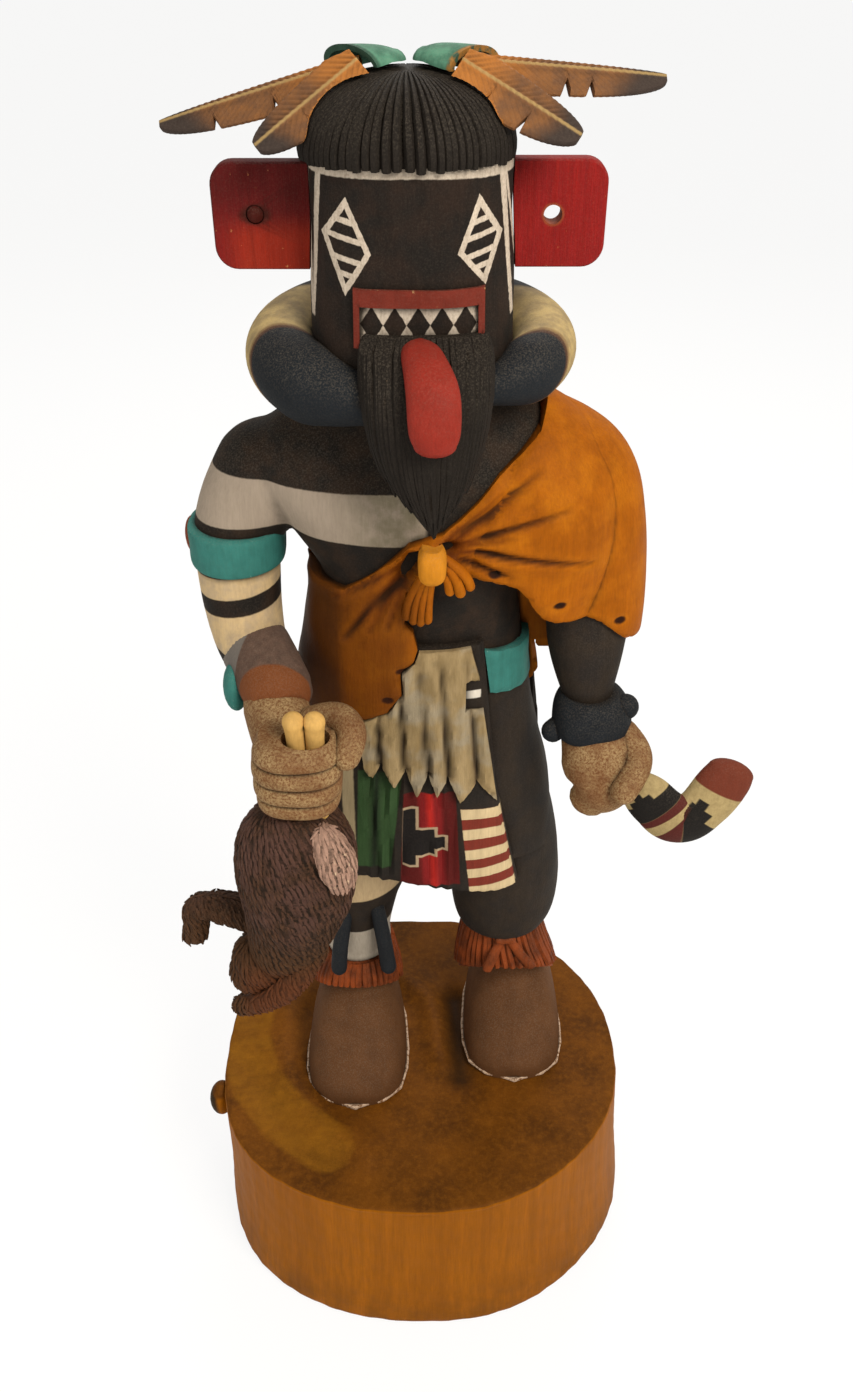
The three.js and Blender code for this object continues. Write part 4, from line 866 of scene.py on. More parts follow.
PAINTS = [
    body_black, leg_bands, mask_paint, ruff_paint, cloth_stain, kilt_paint, apron_paint, hand_paint,
    guard_paint, cuff_paint, sole_paint, stick_paint, fur_paint, feather_paint, ear_paint, block_stain,
    tie_paint,
]
FINISHES = {action.__name__.replace("_", " "): action for action in PAINTS}
PLAIN_FINISHES = {
    "hair paint": dict(colour="1f1b18", wear=0.3, dust=0.15, bare="4c3b2c", recess_shade=1.0),
    "tongue paint": dict(
        colour="red", wear=0.25, dust=0.1, roughness=0.5, mottle=0.2, mottled=0.35, bump=0.5),
    "mouth paint": dict(colour="mouth_red", wear=0.4, dust=0.2),
    "knot stain": dict(colour="bd7a1c", wear=0.3, mottled=0.3),
    "turquoise paint": dict(colour="turquoise", wear=0.5, mottled=0.35, bare="7fa09a"),
    "garter paint": dict(colour="blue_black", wear=0.3),
    "moccasin paint": dict(colour="moccasin", wear=0.5, mottle=0.12, bare="8a623c"),
    "tail paint": dict(colour="a08070", wear=0.5, mottle=0.8, bare="c0a88c", mottled=0.8),
    "foot paint": dict(colour="c9a05c", wear=0.3, mottled=0.4),
    "tab paint": dict(colour="7a3c26", wear=0.4),
}


def finish(name):
    """The material of a finish, made when it is first asked for."""
    if name in bpy.data.materials:
        return bpy.data.materials[name]
    return plain(name, **PLAIN_FINISHES[name]) if name in PLAIN_FINISHES else FINISHES[name]()


# Carving: closed meshes over rings of points

def spline(rows, steps):
    """Rows that start with their own place, read at even places along a smooth curve."""
    rows = np.array(rows, float)
    at, values = rows[:, 0], rows[:, 1:]
    rise = np.diff(values, axis=0) / np.diff(at)[:, None]
    slope = np.empty_like(values)
    if len(rows) == 2:
        slope[:] = rise[0]
    else:
        slope[1:-1] = (values[2:] - values[:-2]) / (at[2:] - at[:-2])[:, None]
        slope[0] = 1.5 * rise[0] - 0.5 * slope[1]
        slope[-1] = 1.5 * rise[-1] - 0.5 * slope[-2]
    places = np.linspace(at[0], at[-1], steps + 1)
    k = np.clip(np.searchsorted(at, places, side="right") - 1, 0, len(at) - 2)
    width = (at[k + 1] - at[k])[:, None]
    t = (places - at[k])[:, None] / width
    found = (2 * t**3 - 3 * t**2 + 1) * values[k] + (t**3 - 2 * t**2 + t) * width * slope[k]
    found += (3 * t**2 - 2 * t**3) * values[k + 1] + (t**3 - t**2) * width * slope[k + 1]
    return places, found


def squared(share, square):
    """A sine or cosine for an outline between a round and a square."""
    return np.sign(share) * np.abs(share) ** (2 / square)


def unit(vectors):
    return vectors / np.linalg.norm(vectors, axis=-1, keepdims=True)


def knife(x, y, z):
    """The slight unevenness that a knife leaves."""
    return 0.12 * np.sin(0.41 * x + 0.23 * z + 1) + 0.1 * np.sin(0.37 * y - 0.31 * z + 2)


def loft(rows, sides, steps, relief=None, grow=0.0):
    """Rings of points over the cross sections of an upright form. relief moves the skin outwards."""
    places, values = spline(rows, steps)
    centre_x, centre_y, half_width, half_depth, square = (values[:, i:i + 1] for i in range(5))
    angle = np.linspace(0, 2 * math.pi, sides, endpoint=False)[None, :]
    u = half_width * squared(np.cos(angle), square)
    v = half_depth * squared(np.sin(angle), square)
    z = np.repeat(places[:, None], sides, axis=1)
    x, y = centre_x + u, centre_y + v
    moved = grow + knife(x, y, z) + (relief(x, y, z) if relief else 0)
    scale = 1 + moved / np.hypot(u, v)
    return np.stack([centre_x + u * scale, centre_y + v * scale, z], axis=-1)


def limb(rows, sides, steps, across=(1, 0, 0), caps=4):
    """Rings of points round a curve, with round ends. Rows are x, y, z, half width, half thickness."""
    full = np.array([[*row[:4], row[4] if len(row) > 4 else row[3]] for row in rows], float)
    _, values = spline(np.column_stack([np.arange(len(full)), full]), steps)
    centre, size = values[:, :3], values[:, 3:]
    along = unit(np.gradient(centre, axis=0))
    wide = unit(np.array(across, float) - along * (along @ np.array(across, float))[:, None])
    second = np.cross(along, wide)
    angle = np.linspace(0, 2 * math.pi, sides, endpoint=False)[None, :, None]

    def ring(i, shrink, shift):
        middle = centre[i] + along[i] * shift * size[i].min()
        reach = np.cos(angle) * wide[i] * size[i][0] + np.sin(angle) * second[i] * size[i][1]
        return middle + reach * shrink

    turns = [cap / (caps + 0.4) * math.pi / 2 for cap in range(caps, 0, -1)]
    rings = [ring(0, math.cos(turn), -math.sin(turn)) for turn in turns]
    rings += [ring(i, 1, 0) for i in range(steps + 1)]
    rings += [ring(steps, math.cos(turn), math.sin(turn)) for turn in reversed(turns)]
    return np.concatenate(rings)


def ball(x, y, z, radius, stretch=(1, 1, 1), sides=24, steps=14):
    """Rings of points over a round or stretched ball."""
    turn = np.linspace(0.06, math.pi - 0.06, steps)[:, None]
    angle = np.linspace(0, 2 * math.pi, sides, endpoint=False)[None, :]
    across = np.sin(turn) * radius
    return np.stack([
        x + across * np.cos(angle) * stretch[0], y + across * np.sin(angle) * stretch[1],
        np.repeat(z - np.cos(turn) * radius * stretch[2], sides, axis=1),
    ], axis=-1)


def linked(name, data):
    """A new object in the scene."""
    obj = bpy.data.objects.new(name, data)
    bpy.context.scene.collection.objects.link(obj)
    return obj


def write_mark(mesh, label, values):
    """Keeps a number on each point of a mesh."""
    mark = mesh.attributes.get(label) or mesh.attributes.new(label, "FLOAT", "POINT")
    mark.data.foreach_set("value", np.ravel(values).astype(np.float32))


def read_rows(items, label, width, kind=np.float32):
    """One row of numbers for each of a mesh's items."""
    values = np.empty(len(items) * width, kind)
    items.foreach_get(label, values)
    return values.reshape(-1, width)


def mesh_object(name, points, faces, surface, marks=None):
    """An object of a mesh whose points are given in millimetres, at the origin."""
    mesh = bpy.data.meshes.new(name)
    mesh.from_pydata((np.asarray(points) * MM).tolist(), [], faces)
    mesh.materials.append(finish(surface))
    for label, values in (marks or {}).items():
        write_mark(mesh, label, values)
    mesh.update()
    return linked(name, mesh)


def form(name, rings, surface, marks=None):
    """A closed object over rings of points, with a fan of faces over each end."""
    count, sides = rings.shape[:2]
    points = rings.reshape(-1, 3)
    ring, side = np.meshgrid(np.arange(count - 1), np.arange(sides), indexing="ij")
    a = (ring * sides + side).ravel()
    b = (ring * sides + (side + 1) % sides).ravel()
    walls = np.stack([a, b, b + sides, a + sides], axis=1)
    turn = np.arange(sides)
    after = (turn + 1) % sides
    last = (count - 1) * sides
    lids = np.concatenate([
        np.column_stack([np.full(sides, len(points)), after, turn]),
        np.column_stack([np.full(sides, len(points) + 1), last + turn, last + after]),
    ])
    everything = np.vstack([points, rings[0].mean(axis=0), rings[-1].mean(axis=0)])
    volume = 0
    for corners in (walls[:, :3], walls[:, [0, 2, 3]], lids):
        first, second, third = (everything[corners[:, i]] for i in range(3))
        volume += np.einsum("ij,ij->i", first, np.cross(second, third)).sum()
    faces = walls.tolist() + lids.tolist()
    if volume < 0:
        faces = [face[::-1] for face in faces]
    if marks:
        marks = {k: np.append(np.ravel(v), [np.ravel(v)[0], np.ravel(v)[-1]]) for k, v in marks.items()}
    return mesh_object(name, everything, faces, surface, marks)


def prism(outline, low_y, high_y, surface):
    """A straight bar along Y whose outline is given as seen from the front."""
    count = len(outline)
    points = [(x, low_y, z) for x, z in outline] + [(x, high_y, z) for x, z in outline]
    area = sum(a[0] * b[1] - b[0] * a[1] for a, b in zip(outline, outline[1:] + outline[:1]))
    faces = [list(range(count)), list(range(2 * count - 1, count - 1, -1))]
    faces += [[i, i + count, (i + 1) % count + count, (i + 1) % count] for i in range(count)]
    if area < 0:
        faces = [face[::-1] for face in faces]
    return mesh_object("prism", points, faces, surface)


def final_mesh(obj):
    """A new mesh of an object as its modifiers leave it."""
    graph = bpy.context.evaluated_depsgraph_get()
    graph.update()
    return bpy.data.meshes.new_from_object(obj.evaluated_get(graph), depsgraph=graph)


def bake(obj):
    """Turns an object's modifiers into its plain mesh."""
    mesh = final_mesh(obj)
    obj.modifiers.clear()
    obj.data = mesh
    return obj


def carve(target, operation, *others):
    """Joins, cuts or trims an object by others, which are used up."""
    group = bpy.data.collections.new("tools")
    for other in others:
        group.objects.link(other)
    modifier = target.modifiers.new("carving", "BOOLEAN")
    modifier.operation = operation
    modifier.operand_type = "COLLECTION"
    modifier.collection = group
    modifier.solver = "MANIFOLD"
    modifier.material_mode = "TRANSFER"
    bake(target)
    for other in others:
        bpy.data.objects.remove(other)
    bpy.data.collections.remove(group)
    return target


def soften(obj, size=1.1, rounds=14):
    """Rounds the crease where two forms meet."""
    surface = obj.data.materials[0]
    remesh = obj.modifiers.new("even", "REMESH")
    remesh.mode = "VOXEL"
    remesh.voxel_size = size * MM
    flow = obj.modifiers.new("flow", "SMOOTH")
    flow.factor = 0.5
    flow.iterations = rounds
    bake(obj)
    obj.data.materials.clear()
    obj.data.materials.append(surface)
    return obj


def smooth(obj, degrees=38):
    """Shades a mesh smooth, with sharp edges where it turns more than an angle."""
    mesh = obj.data
    mesh.shade_smooth()
    mesh.set_sharp_from_angle(angle=math.radians(degrees))


def feel_edges(obj, spread=2):
    """Marks raised edges and recesses on a mesh's points, for wear and grime."""
    mesh = obj.data
    count = len(mesh.vertices)
    places = read_rows(mesh.vertices, "co", 3)
    normals = read_rows(mesh.vertex_normals, "vector", 3)
    a, b = read_rows(mesh.edges, "vertices", 2, np.int32).T
    along = places[b] - places[a]
    length = np.maximum(np.linalg.norm(along, axis=1), 1e-7)
    bend = np.zeros(count)
    met = np.zeros(count)
    for here, way in ((a, along), (b, -along)):
        np.add.at(bend, here, np.einsum("ij,ij->i", normals[here], way) / length)
        np.add.at(met, here, 1)
    bend /= np.maximum(met, 1)
    for _ in range(spread):
        total = bend.copy()
        np.add.at(total, a, bend[b])
        np.add.at(total, b, bend[a])
        bend = total / (met + 1)
    write_mark(mesh, "edge", np.clip(-bend * 6, 0, 1))
    # The recess mark sets where shade is painted into the colour.
    write_mark(mesh, "recess", np.clip(bend * 6, 0, 1))


def settle(obj, name, slot, *nodes):
    """Finishes a piece: shading, marks, name, body, slot and the nodes that it stands for."""
    obj.name = name
    obj.data.name = name
    smooth(obj)
    feel_edges(obj)
    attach(obj, BODY)
    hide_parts(*nodes)
    return obj


# Shapes that carve a surface

def inside(outline, x, z):
    """How far places seen from the front lie inside an outline, and less than nothing outside it."""
    corners = np.array(outline, float)
    ax, az = corners.T
    bx, bz = np.roll(corners, -1, axis=0).T
    px, pz = x[..., None], z[..., None]
    length = (bx - ax) ** 2 + (bz - az) ** 2
    t = np.clip(((px - ax) * (bx - ax) + (pz - az) * (bz - az)) / length, 0, 1)
    distance = np.hypot(px - ax - t * (bx - ax), pz - az - t * (bz - az)).min(axis=-1)
    rise = np.where(bz == az, 1e-9, bz - az)
    crossed = ((az > pz) != (bz > pz)) & (px < (bx - ax) * (pz - az) / rise + ax)
    return np.where(crossed.sum(axis=-1) % 2 == 1, distance, -distance)


def to_line(x, z, start, end):
    """Distance to a straight line seen from the front, and how far along it the nearest place is."""
    dx, dz = end[0] - start[0], end[1] - start[1]
    t = np.clip(((x - start[0]) * dx + (z - start[1]) * dz) / (dx * dx + dz * dz), 0, 1)
    return np.hypot(x - start[0] - t * dx, z - start[1] - t * dz), t


def rounded(depth, radius):
    """How far a skin drops towards an edge that has a radius."""
    near = np.clip(depth, 0, radius)
    return radius - np.sqrt(np.maximum(radius**2 - (radius - near) ** 2, 0))


def creases(x, z, lines):
    """Depth of the creases, and how dark they are."""
    depth = np.zeros_like(x)
    dark = np.zeros_like(x)
    for start, end, width, deep in lines:
        away, t = to_line(x, z, start, end)
        reach = width * (1 - 0.55 * t)
        fade = np.clip(1.15 - t, 0, 1) ** 0.7
        depth += deep * fade * np.exp(-(away / reach) ** 2)
        depth -= 0.38 * deep * fade * np.exp(-((away - 2.1 * reach) / reach) ** 2)
        dark = np.maximum(dark, fade * np.exp(-(away / (0.75 * reach)) ** 2))
    return depth, dark


def cloth_depth(x, y, z):
    """How far the cloth's skin moves in: rounded edge, creases and small holes."""
    front = y < CLOTH_SPLIT_Y
    edge = np.where(
        front, np.maximum(inside(CLOTH_FRONT_UPPER, x, z), inside(CLOTH_FRONT_LOWER, x, z)),
        inside(CLOTH_BACK, x, z),
    )
    depth = rounded(edge, sizes().cloth_edge / MM)
    chest, _ = creases(x, z, CREASES)
    back, _ = creases(x, z, BACK_CREASES)
    depth += np.where(front, chest, back)
    for hole_x, hole_z in CLOTH_HOLES:
        away = np.hypot((x - hole_x) * 0.63, z - hole_z)
        depth += np.where(front, 0.9 * np.exp(-(away / 0.9) ** 2), 0)
    return depth


def trim_cloth(obj):
    """Cuts a form of the cloth to its outline, in front and behind."""
    window = prism(CLOTH_FRONT_UPPER, -FAR, CLOTH_SPLIT_Y, "cloth stain")
    carve(window, "UNION", prism(CLOTH_FRONT_LOWER, -FAR, CLOTH_SPLIT_Y, "cloth stain"),
          prism(CLOTH_BACK, CLOTH_SPLIT_Y - 0.1, FAR, "cloth stain"))
    return carve(obj, "INTERSECT", window)


def mark_creases(obj, lines):
    """Keeps how dark the creases are on the points that face forward."""
    x, y, z = (read_rows(obj.data.vertices, "co", 3) / MM).T
    _, dark = creases(x, z, lines)
    write_mark(obj.data, "crease", np.where(y < CLOTH_SPLIT_Y, dark, 0))


# Strands, made by geometry nodes

def stroke_group(name, taken, values):
    """An empty geometry node group that takes a form and named values, and its two end nodes."""
    tree = bpy.data.node_groups.new(name, "GeometryNodeTree")
    for label, kind, value in ((taken, "Geometry", None), *values, ("Finish", "Material", None)):
        socket = tree.interface.new_socket(name=label, in_out="INPUT", socket_type="NodeSocket" + kind)
        if value is not None:
            socket.default_value = value
    tree.interface.new_socket(name="Strokes", in_out="OUTPUT", socket_type="NodeSocketGeometry")
    return tree, tree.nodes.new("NodeGroupInput").outputs, tree.nodes.new("NodeGroupOutput")


def give_strokes(tree, strokes, taken, end):
    """Makes strokes plain meshes with their finish, and hands them out."""
    whole = add_node(tree, "GeometryNodeRealizeInstances", {0: strokes})
    painted = add_node(tree, "GeometryNodeSetMaterial", {
        "Geometry": whole.outputs[0], "Material": taken["Finish"],
    })
    tree.links.new(painted.outputs[0], end.inputs[0])
    return tree


def strand_tree():
    """Geometry nodes that give curves a tapered body, a slight wander and a finish."""
    name = "Carved strands"
    if name in bpy.data.node_groups:
        return bpy.data.node_groups[name]
    tree, taken, end = stroke_group(name, "Curves", (
        ("Thickness", "Float", 0.8 * MM), ("Sides", "Int", 6), ("Wander", "Float", 0.2 * MM),
        ("Seed", "Int", 1),
    ))
    drift = add_node(tree, "ShaderNodeTexNoise", {"W": taken["Seed"], "Scale": 140}, noise_dimensions="4D")
    centred = vector_math(tree, "SUBTRACT", drift.outputs["Color"], (0.5, 0.5, 0.5))
    offset = vector_math(tree, "SCALE", centred, taken["Wander"])
    moved = add_node(tree, "GeometryNodeSetPosition", {"Geometry": taken["Curves"], "Offset": offset})
    profile = add_node(tree, "GeometryNodeCurvePrimitiveCircle", {
        "Resolution": taken["Sides"], "Radius": taken["Thickness"],
    })
    swept = add_node(tree, "GeometryNodeCurveToMesh", {
        "Curve": moved.outputs[0], "Profile Curve": profile.outputs["Curve"], "Fill Caps": True,
    })
    if "Scale" in swept.inputs:
        feed(tree, tree.nodes.new("GeometryNodeInputRadius").outputs[0], swept.inputs["Scale"])
    return give_strokes(tree, swept.outputs[0], taken, end)


def run_nodes(obj, tree, values):
    """Adds a geometry nodes modifier, with its inputs set by their labels."""
    modifier = obj.modifiers.new(tree.name, "NODES")
    modifier.node_group = tree
    for item in tree.interface.items_tree:
        if item.item_type == "SOCKET" and item.in_out == "INPUT" and item.name in values:
            modifier[item.identifier] = values[item.name]


def strands(name, paths, surface, thickness, sides=6, wander=0.2, seed=1):
    """One mesh of carved strands. A path's points are x, y, z and a share of the thickness."""
    data = bpy.data.curves.new(name, "CURVE")
    data.dimensions = "3D"
    for path in paths:
        spline_curve = data.splines.new("POLY")
        spline_curve.points.add(len(path) - 1)
        for point, (x, y, z, share) in zip(spline_curve.points, path):
            point.co = (x * MM, y * MM, z * MM, 1)
            point.radius = max(share, 0.05)
    curves = linked(name, data)
    run_nodes(curves, strand_tree(), {
        "Thickness": thickness * MM, "Sides": sides, "Wander": wander * MM, "Seed": seed,
        "Finish": finish(surface),
    })
    made = linked(name, final_mesh(curves))
    bpy.data.objects.remove(curves)
    return made


def loose_parts(obj):
    """Splits a mesh into its separate closed bodies."""
    bpy.ops.object.select_all(action="DESELECT")
    obj.select_set(True)
    bpy.context.view_layer.objects.active = obj
    bpy.ops.mesh.separate(type="LOOSE")
    return list(bpy.context.selected_objects)


# Parts of the figure

def right_leg_parts():
    garters = [
        limb([(-21.5, 2, 128, 2.2), (-23.5, -0.5, 116, 2.4), (-24.4, -0.8, 106, 2.5)], 14, 14),
        limb([(-12, 2, 129, 2.2), (-10.3, 1, 117, 2.4), (-9, 0.6, 105, 2.5)], 14, 14),
    ]
    parts = [form("right leg", loft(RIGHT_LEG, 64, 48), "leg bands")]
    parts += [form("garter", rings, "garter paint") for rings in garters]
    return parts


def cuff_parts(rows, front_lift, seed):
    """A cuff's core and its fringe, which ends higher in front, where it lies on the moccasin."""
    low, high = rows[0][0], rows[-1][0]
    tiers = 8
    rings = loft(rows, 48, 10)
    front = np.clip(-(rings[..., 1] - rows[0][2]) / rows[0][4], 0, 1)
    rings[..., 2] += (front_lift + 0.8) * front * (high - rings[..., 2]) / (high - low)
    core = form("cuff core", rings, "cuff paint")
    rng = np.random.default_rng(seed)
    _, values = spline(rows, tiers)
    paths = []
    count = sizes().fringe_strands
    for i in range(count):
        angle = 2 * math.pi * (i + rng.uniform(-0.25, 0.25)) / count
        reach = rng.uniform(0.86, 1)
        lift = front_lift * max(0, -math.sin(angle))
        path = []
        for k, height in enumerate(np.linspace(high, low, tiers + 1)):
            x, y, half_width, half_depth, _ = values[tiers - k]
            share = k / tiers
            if share > reach:
                break
            out = 0.2 + 0.9 * share**2
            height += lift * (high - height) / (high - low)
            path.append((
                x + (half_width + out) * math.cos(angle), y + (half_depth + out) * math.sin(angle),
                height, 0.75 + 0.5 * math.sin(math.pi * min(1, share / reach)) * 0.6,
            ))
        paths.append(path)
    fringe = strands("fringe", paths, "cuff paint", 1.15, 6, 0.35, seed)
    return [core, *loose_parts(fringe)]


def moccasin_parts(centre_x, shift_y):
    """Moccasin with a ridge down its middle, on a sole with a pointed toe."""
    steps, sides, fine_steps = 40, 44, 200
    t = np.linspace(0, 1, steps + 1) ** 0.8
    _, values = spline([(i, *row) for i, row in enumerate(MOCCASIN)], fine_steps)
    picked = values[(t * fine_steps).astype(int)]
    angle = np.linspace(0, math.pi, sides + 1)[None, :]
    half, height = picked[:, 1:2], picked[:, 2:3]
    x = half * np.cos(angle)
    ridge = 0.5 * np.exp(-(x / 1.1) ** 2)
    z = height * np.sin(angle) ** 0.85 + ridge * (np.sin(angle) > 0.5)
    y = np.repeat(picked[:, 0:1], sides + 1, axis=1)
    rings = np.stack([centre_x + x, shift_y + y, SOLE_HEIGHT + np.maximum(z, 0)], axis=-1)
    upper = form("moccasin", rings, "moccasin paint")
    edge = 0.9
    right = [(centre_x + w + edge, shift_y + y) for y, w, _ in MOCCASIN]
    left = [(centre_x - w - edge, shift_y + y) for y, w, _ in MOCCASIN]
    outline = [(centre_x, shift_y + MOCCASIN[0][0] - 1.4), *right, *left[::-1]]
    levels = ((0, 0), (0.2, 0.28), (0.8, 0.28), (1.1, -0.1))
    flat = np.array(outline)
    away = unit(flat - (centre_x, shift_y + 8))
    rings = [np.column_stack([flat + away * (out - 0.28), np.full(len(flat), SOLE_HEIGHT + up)])
             for up, out in levels]
    sole = form("sole", np.array(rings), "sole paint")
    return [upper, sole]


def left_leg_parts():
    ties = [
        limb([(26.4, 0.6, 118, 1.2, 1), (24, -0.9, 112, 1.6, 1.1), (22, -1.8, 106.2, 1.5, 1)], 12, 12),
        limb([(28.2, 0.6, 118, 1.2, 1), (32, -0.6, 112, 1.6, 1.1), (35.8, -0.6, 106.4, 1.5, 1)], 12, 12),
        limb([(25.4, -0.4, 117.6, 1.4, 1.2), (29.4, -0.4, 117.8, 1.4, 1.2)], 12, 6),
    ]
    parts = [form("left leg", loft(LEFT_LEG, 64, 56), "leg bands")]
    parts += [form("cuff tie", rings, "cuff paint") for rings in ties]
    return parts


def kilt_parts():
    """Kilt, apron and belt."""
    def pleats(x, y, z):
        folded = 0.55 * np.cos(2 * math.pi * (x + (z - 190) * 0.05 + 3) / 3.7)
        panel = np.clip(np.minimum(x + 15, 12.5 - x) / 1.5, 0, 1) * (y < 4) * np.clip((200 - z) / 6, 0, 1)
        edge = np.where(y < 12, inside(KILT_FRONT, x, z), inside(KILT_BACK, x, z))
        back = (y > 12) * 0.35 * np.cos(x * 0.55)
        return folded * panel - 0.55 * panel - rounded(edge, 1.0) + back

    kilt = form("kilt", loft(KILT, 150, 96, pleats), "kilt paint")
    window = prism(KILT_FRONT, -FAR, 12, "kilt paint")
    carve(window, "UNION", prism(KILT_BACK, 11.9, FAR, "kilt paint"))
    carve(kilt, "INTERSECT", window)

    def locks(x, y, z):
        groove = np.zeros_like(x)
        for valley, root in zip(LOCK_VALLEYS, LOCK_ROOTS):
            away, t = to_line(x, z, valley, root)
            groove += 1.5 * (1 - 0.75 * t) * np.exp(-(away / (0.9 + 0.5 * t)) ** 2)
        fine = 0.16 * np.sin(x * 5.1 + np.sin(z * 0.3) * 2) + 0.1 * np.sin(x * 8.7 + z * 0.5)
        return 2 - groove + fine - rounded(inside(APRON, x, z), 1.1)

    apron = form("apron", loft(KILT, 260, 120, locks), "apron paint")
    carve(apron, "INTERSECT", prism(APRON, -FAR, -2, "apron paint"))
    mark_creases(apron, [(v, r, 0.9, 1) for v, r in zip(LOCK_VALLEYS, LOCK_ROOTS)])
    rows = [(z, x, y + 0.5, w, d, n) for z, x, y, w, d, n in TORSO[:4]]
    belt = form("belt", loft(rows, 96, 40, lambda x, y, z: 2.3 - rounded(inside(BELT_CUT, x, z), 0.8)),
                "turquoise paint")
    carve(belt, "INTERSECT", prism(BELT_CUT, -FAR, FAR, "turquoise paint"))
    return [kilt, apron, belt]


def cloth_parts():
    """The shoulder cloth over three forms, its knot and its two tied ends."""
    parts = []
    for name, rows, sides, steps in (
        ("cloth body", CLOTH_BODY, 190, 116), ("cloth chest", CLOTH_CHEST, 130, 92),
        ("cloth arm", CLOTH_ARM, 96, 76),
    ):
        rings = loft(rows, sides, steps, lambda x, y, z: -cloth_depth(x, y, z))
        parts.append(trim_cloth(form(name, rings, "cloth stain")))
    cloth = carve(parts[0], "UNION", *parts[1:])
    mark_creases(cloth, CREASES)
    knot = form("knot", loft([
        (256.3, 4.2, -20.8, 2.2, 3.2, 2.6), (257.4, 4.2, -21.1, 2.9, 3.9, 2.8),
        (260.4, 4.2, -21.4, 3.2, 4.2, 2.8), (263, 4.2, -21.1, 3, 3.9, 2.7),
        (264.5, 4.2, -20.6, 2.2, 3.2, 2.5),
    ], 32, 18), "knot stain")
    ribs = [
        ((3, -19.8, 257.6, 1.1, 1.4), (-0.6, -19, 250.6, 1.1, 1.5), (-1.8, -17.8, 244.8, 1.1, 1.3)),
        ((3.4, -20, 257.6, 1.1, 1.4), (0.8, -19.3, 250.4, 1.1, 1.6), (-0.1, -18, 243.8, 1.1, 1.4)),
        ((3.9, -20.1, 257.6, 1.1, 1.4), (2.2, -19.4, 250.4, 1.1, 1.6), (1.6, -18.1, 243.4, 1.1, 1.4)),
        ((4.3, -20, 257.6, 1.1, 1.4), (3.5, -19.3, 250.6, 1.1, 1.5), (3.3, -18, 243.9, 1.1, 1.3)),
        ((6, -20.3, 260.6, 1.2, 1.4), (7.8, -20.6, 256.4, 1.2, 1.5), (8.4, -19.6, 252.6, 1.2, 1.3)),
        ((6.4, -20.4, 261, 1.2, 1.4), (9.6, -20.8, 256.6, 1.3, 1.6), (10.8, -19.6, 252.2, 1.3, 1.4)),
        ((6.6, -20.4, 261.6, 1.2, 1.4), (11.2, -20.6, 257.8, 1.2, 1.5), (13, -19.5, 253.8, 1.2, 1.3)),
    ]
    ends = [form("tie end", limb(rows, 14, 14), "cloth stain") for rows in ribs]
    return [cloth, knot, *ends]


def fingers(x, y, z):
    """Four fingers round the front of the fist."""
    around = np.clip(-(y - FIST[1]) / np.hypot(x - FIST[0], y - FIST[1]), 0, 1) ** 0.6
    phase = ((z - FIST_BOTTOM - 0.4) / FINGER_PITCH) % 1
    return -1.5 * around * (1 - np.abs(np.sin(math.pi * phase)) ** 0.55)


def right_arm_parts():
    bore = form("bore", loft([
        (200, BORE_X, FIST[1] - 0.6, 5.3, 4.4, 2), (215, BORE_X, FIST[1] - 0.6, 5.3, 4.4, 2),
        (230, BORE_X, FIST[1] - 0.6, 6, 5, 2),
    ], 32, 6), "hand paint")
    fist_rows = [
        (FIST_BOTTOM, FIST[0], FIST[1], 8.1, 7.2, 2.4), (206.6, FIST[0], FIST[1], 9.9, 8.6, 2.5),
        (214, FIST[0], FIST[1], 10.7, 9.2, 2.5), (221, FIST[0], FIST[1], 10.5, 9, 2.4),
        (224.5, FIST[0], FIST[1] + 0.5, 8.8, 7.5, 2.3),
    ]
    fist = form("fist", loft(fist_rows, 72, 60, fingers), "hand paint")
    hand = form("back of hand", limb([
        (-34, -20, 220.4, 8, 7.6), (-31.4, -27, 217.6, 8.2, 8), (FIST[0], FIST[1] + 3, 214.5, 9, 8.6),
    ], 40, 24), "hand paint")
    thumb = form("thumb", limb([
        (-24, -28.5, 222, 3.8, 3.8), (-17.8, -31, 224.6, 3.9, 3.8), (-14.6, -35.4, 223.6, 3.6, 3.6),
        (-15.6, -40, 220.2, 3.3, 3.3)], 28, 32), "hand paint")
    carve(fist, "UNION", hand, thumb)
    carve(fist, "DIFFERENCE", bore)
    arm = form("right arm", limb([
        (-35, 7, 270, 13.5, 14), (-42.6, 5, 258, 11, 12), (-43.6, 3, 243, 10.2, 11.2),
        (-42, -1, 230, 9.2, 9.6), (-38.4, -9, 226, 8.2, 8.4), (-34.4, -19, 222, 7.4, 7),
    ], 64, 72), "body black")
    band = form("armband", loft([
        (249, -43.7, 3.8, 10.8, 11.8, 2.1), (249.6, -43.7, 3.8, 11.5, 12.5, 2.1),
        (254, -43.5, 4.1, 11.8, 12.8, 2.1), (258.6, -43.3, 4.4, 11.9, 12.9, 2.1),
        (259.2, -43.1, 4.6, 11.2, 12.2, 2.1),
    ], 64, 24), "turquoise paint")
    guard = form("bow guard", limb([(-40, -4.4, 227, 8.9, 9.4), (-36.8, -11, 225.3, 8.9, 9),
                                    (-33.6, -17.6, 223.6, 8.7, 8.4)], 48, 24, caps=3), "guard paint")
    stone = form("stone", ball(-44.6, -12.5, 221.4, 6.4, (0.5, 0.9, 1.05)), "turquoise paint")
    tab = form("armband tab", ball(-54.6, 6, 254, 5, (0.4, 0.6, 1)), "tab paint")
    return arm, [band, guard, stone, tab, fist]


def stick_rings(grow=0.0):
    rows = [(*point, thick + grow, wide + grow)
            for point, thick, wide in zip(STICK_PATH, STICK_THICKNESSES, STICK_WIDTHS)]
    return limb(rows, 40, 90, across=(0.1, 1, 0.2), caps=8)


